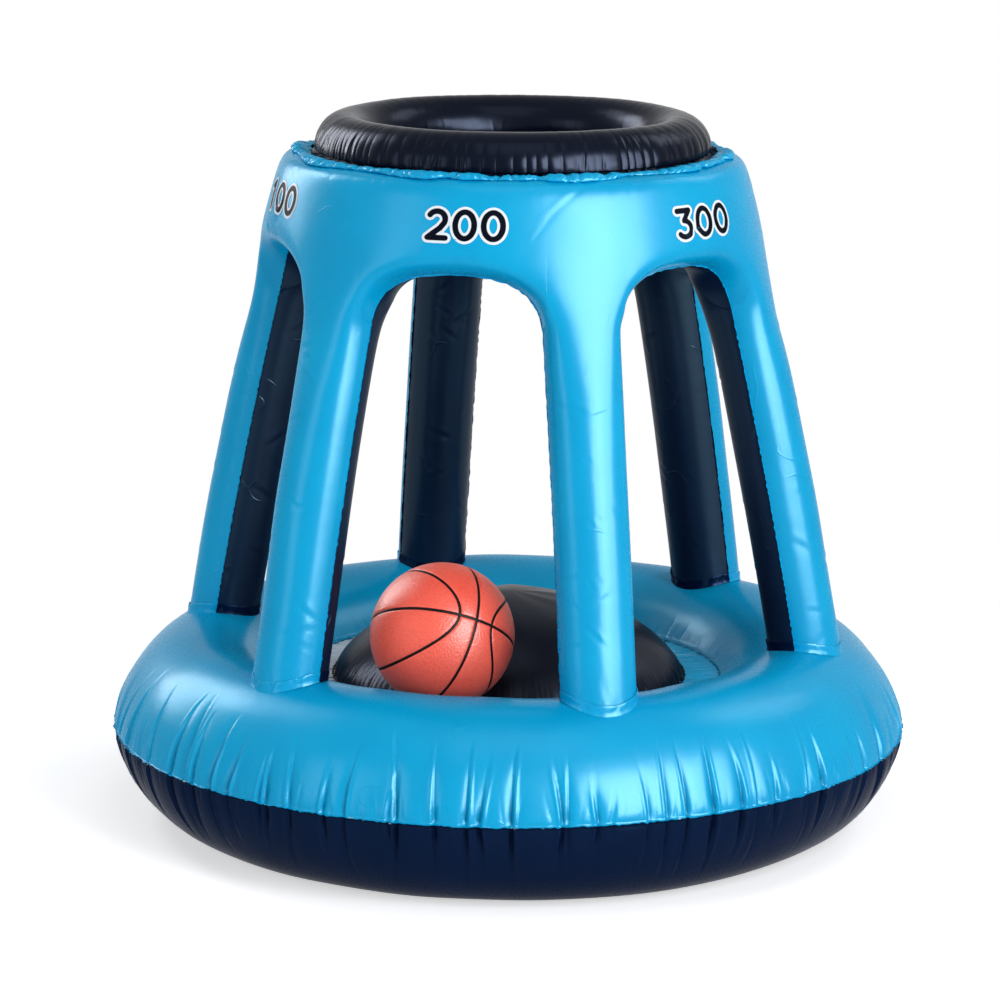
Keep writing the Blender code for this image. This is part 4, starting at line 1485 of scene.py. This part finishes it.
def channel_lines():
    """The channels' paths as directions in the ball's own axes: two great circles and two loops."""
    turns = turns_of(400)
    level = np.stack([np.cos(turns), np.sin(turns), 0 * turns], -1)
    upright = np.stack([np.cos(turns), 0 * turns, np.sin(turns)], -1)
    lines = [level, upright]
    away = 1 / np.sqrt((np.cos(turns) / loop_long) ** 2 + (np.sin(turns) / loop_short) ** 2)
    for hand in (-1, 1):
        loop = np.stack([
            np.sin(away) * np.cos(turns), hand * np.cos(away), np.sin(away) * np.sin(turns)
        ], -1)
        lines.append(loop)
    return [line @ ball_axes for line in lines]


def ball():
    shaped = bmesh.new()
    bmesh.ops.create_cube(shaped, size=2)
    bmesh.ops.subdivide_edges(shaped, edges=shaped.edges[:], cuts=ball_cuts, use_grid_fill=True)
    obj = of_bmesh("ball_rubber_skin", shaped, orange)
    mesh = obj.data
    points = np.zeros(len(mesh.vertices) * 3, np.float32)
    mesh.vertices.foreach_get("co", points)
    points = np.tan(points.reshape(-1, 3) * pi / 4)
    points /= np.linalg.norm(points, axis=1)[:, None]
    closest = np.full(len(points), -1.0)
    for line in channel_lines():
        for start in range(0, len(line), 100):
            closest = np.maximum(closest, (points @ line[start : start + 100].T).max(1))
    gap = np.arccos(np.clip(closest, -1, 1)) * ball_radius
    groove = 1 - smooth_step((gap - channel_half * 0.7) / (channel_half * 0.9))
    radius = ball_radius - channel_depth * groove
    points = points * radius[:, None] + np.array(ball_middle)
    mesh.vertices.foreach_set("co", points.astype(np.float32).ravel())
    mesh.shade_smooth()
    return obj


def channel_strips():
    """Black rubber laid in each channel."""
    points, faces, first = [], [], 0
    for line in channel_lines():
        ahead, behind = np.roll(line, -1, 0), np.roll(line, 1, 0)
        side = np.cross(line, ahead - behind)
        side /= np.linalg.norm(side, axis=1)[:, None]
        rows = []
        for across in (-1.0, -0.8, -0.4, 0.0, 0.4, 0.8, 1.0):
            sink = -0.0011 if abs(across) == 1 else -0.0004 - 0.0002 * across**2
            turned_to = line + side * across * channel_half / ball_radius
            turned_to /= np.linalg.norm(turned_to, axis=1)[:, None]
            rows.append(turned_to * (ball_radius + sink) + np.array(ball_middle))
        grid = np.stack(rows, 1)
        faces.append(grid_faces(*grid.shape[:2], closed=True) + first)
        points.append(grid.reshape(-1, 3))
        first += grid.shape[0] * grid.shape[1]
    return mesh_of("ball_channels", np.concatenate(points), np.concatenate(faces), channel_black)


ball_skin = ball()
ball_channels = channel_strips()
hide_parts("ball_skin")
for piece in (ball_skin, ball_channels):
    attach(piece, "ball")
plug_node = frame["nodes"]["ball_filling_plug"]
for held in plug_node.material_slots:
    held.material = channel_black

for piece in (
    ring_upper, ring_lower, ring_painted_glints, floor_sheet, dome_skin, dome_bead, well_bead, cage_outer, cage_inner,
    outer_margin, inner_margin, rim_upper, rim_lower, rim_margin, rim_hem, number_ink, number_edge, *cuffs,
):
    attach(piece, "float_and_cage")


# Camera, floor and lights


camera_distance = 4.446
camera_height = 1.311
sensor_width = 36
focal_pixels = 3949
picture_pixels = 1000
lamp_aim = Vector((0, 0, 0.40))
floor_half_width = 9
floor_level = -0.0006
pitch, yaw, roll = radians(12.04), radians(-0.147), radians(0.411)


def camera():
    lens = bpy.data.cameras.new("camera")
    lens.sensor_width = sensor_width
    lens.lens = sensor_width * focal_pixels / picture_pixels
    lens.clip_end = 60
    obj = linked("camera", lens)
    ahead = Vector((sin(yaw) * cos(pitch), cos(yaw) * cos(pitch), -sin(pitch)))
    right = Vector((cos(yaw), -sin(yaw), 0))
    up = right.cross(ahead)
    rolled_right = cos(roll) * right + sin(roll) * up
    rolled_up = -sin(roll) * right + cos(roll) * up
    look = Matrix((rolled_right, rolled_up, -ahead)).transposed().to_4x4()
    place = Matrix.Translation((0, -camera_distance, camera_height)) @ look
    obj.matrix_world = Matrix.Rotation(radians(view_azimuth), 4, "Z") @ place
    bpy.context.scene.camera = obj


def softbox(name, azimuth, elevation, distance, size, power, lights=True):
    """A rectangular lamp, with its azimuth counted from the camera's. One that lights nothing is
    only seen in the gloss."""
    lamp = bpy.data.lights.new(name, "AREA")
    lamp.shape = "RECTANGLE"
    lamp.size, lamp.size_y = size
    lamp.energy = power
    obj = linked(name, lamp)
    turn = radians(view_azimuth + azimuth)
    flat = distance * cos(radians(elevation))
    away = Vector((flat * sin(turn), -flat * cos(turn), distance * sin(radians(elevation))))
    place = lamp_aim + away
    obj.location = place
    obj.rotation_euler = (lamp_aim - place).to_track_quat("-Z", "Y").to_euler()
    obj.visible_diffuse = lights


def seen_directly(tree):
    """1 where a camera, glossy or transmission ray looks, else 0."""
    paths = tree.nodes.new("ShaderNodeLightPath").outputs
    seen = maths(tree, "MAXIMUM", paths["Is Camera Ray"], paths["Is Glossy Ray"])
    return maths(tree, "MAXIMUM", seen, paths["Is Transmission Ray"])


def world():
    """Soft even light, which shows as plain white where it is seen directly."""
    sky = bpy.data.worlds.new("studio")
    sky.use_nodes = True
    bpy.context.scene.world = sky
    tree = sky.node_tree
    tree.nodes.clear()
    lit = add(tree, "ShaderNodeBackground", Color=(0.93, 0.96, 1.0, 1), Strength=0.16)
    shown = add(tree, "ShaderNodeBackground", Color=(1, 1, 1, 1), Strength=1.0)
    light = chosen(tree, seen_directly(tree), lit, shown)
    out = tree.nodes.new("ShaderNodeOutputWorld")
    tree.links.new(light.outputs[0], out.inputs["Surface"])


def studio_floor():
    """A pale floor that keeps the hoop's shadow and turns to plain white away from it."""
    material, tree, shader, place = nodes_of("studio_floor")
    shader.inputs["Base Color"].default_value = (0.92, 0.93, 0.95, 1)
    shader.inputs["Roughness"].default_value = 0.9
    shader.inputs["Specular IOR Level"].default_value = 0.0
    away = tree.nodes.new("ShaderNodeVectorMath")
    away.operation = "LENGTH"
    tree.links.new(place, away.inputs[0])
    far = mapped(tree, away.outputs["Value"], 0.62, 1.25, 0.0, 1.0)
    seen = seen_directly(tree)
    glow = add(tree, "ShaderNodeEmission", Color=(1, 1, 1, 1), Strength=0.53)
    dark = add(tree, "ShaderNodeEmission", Color=(0, 0, 0, 1), Strength=0.0)
    near = added(tree, shader, chosen(tree, seen, dark, glow))
    plain = add(tree, "ShaderNodeEmission", Color=(1, 1, 1, 1), Strength=1.0)
    total = chosen(tree, maths(tree, "MULTIPLY", far, seen), near, plain)
    tree.links.new(total.outputs[0], tree.nodes["Material Output"].inputs["Surface"])
    half, level = floor_half_width, floor_level
    corners = [(-half, -half, level), (half, -half, level), (half, half, level), (-half, half, level)]
    obj = mesh_of("studio_floor", np.array(corners), [(0, 1, 2, 3)], material)


camera()
world()
studio_floor()
softbox("key", 34, 19, 3.3, (1.3, 2.4), 72)
softbox("gloss", 44, 17, 3.4, (3.0, 2.3), 400, lights=False)
softbox("fill", -50, 15, 3.4, (1.2, 2.2), 26)
softbox("left_gloss", -127, 24, 3.2, (1.2, 1.7), 105, lights=False)
softbox("top", 4, 66, 2.8, (1.6, 1.5), 10)
softbox("back_left", -118, 42, 3.0, (1.0, 1.1), 18)
softbox("back_right", 118, 42, 3.0, (1.0, 1.1), 16)
bpy.context.scene.view_settings.view_transform = "Standard"
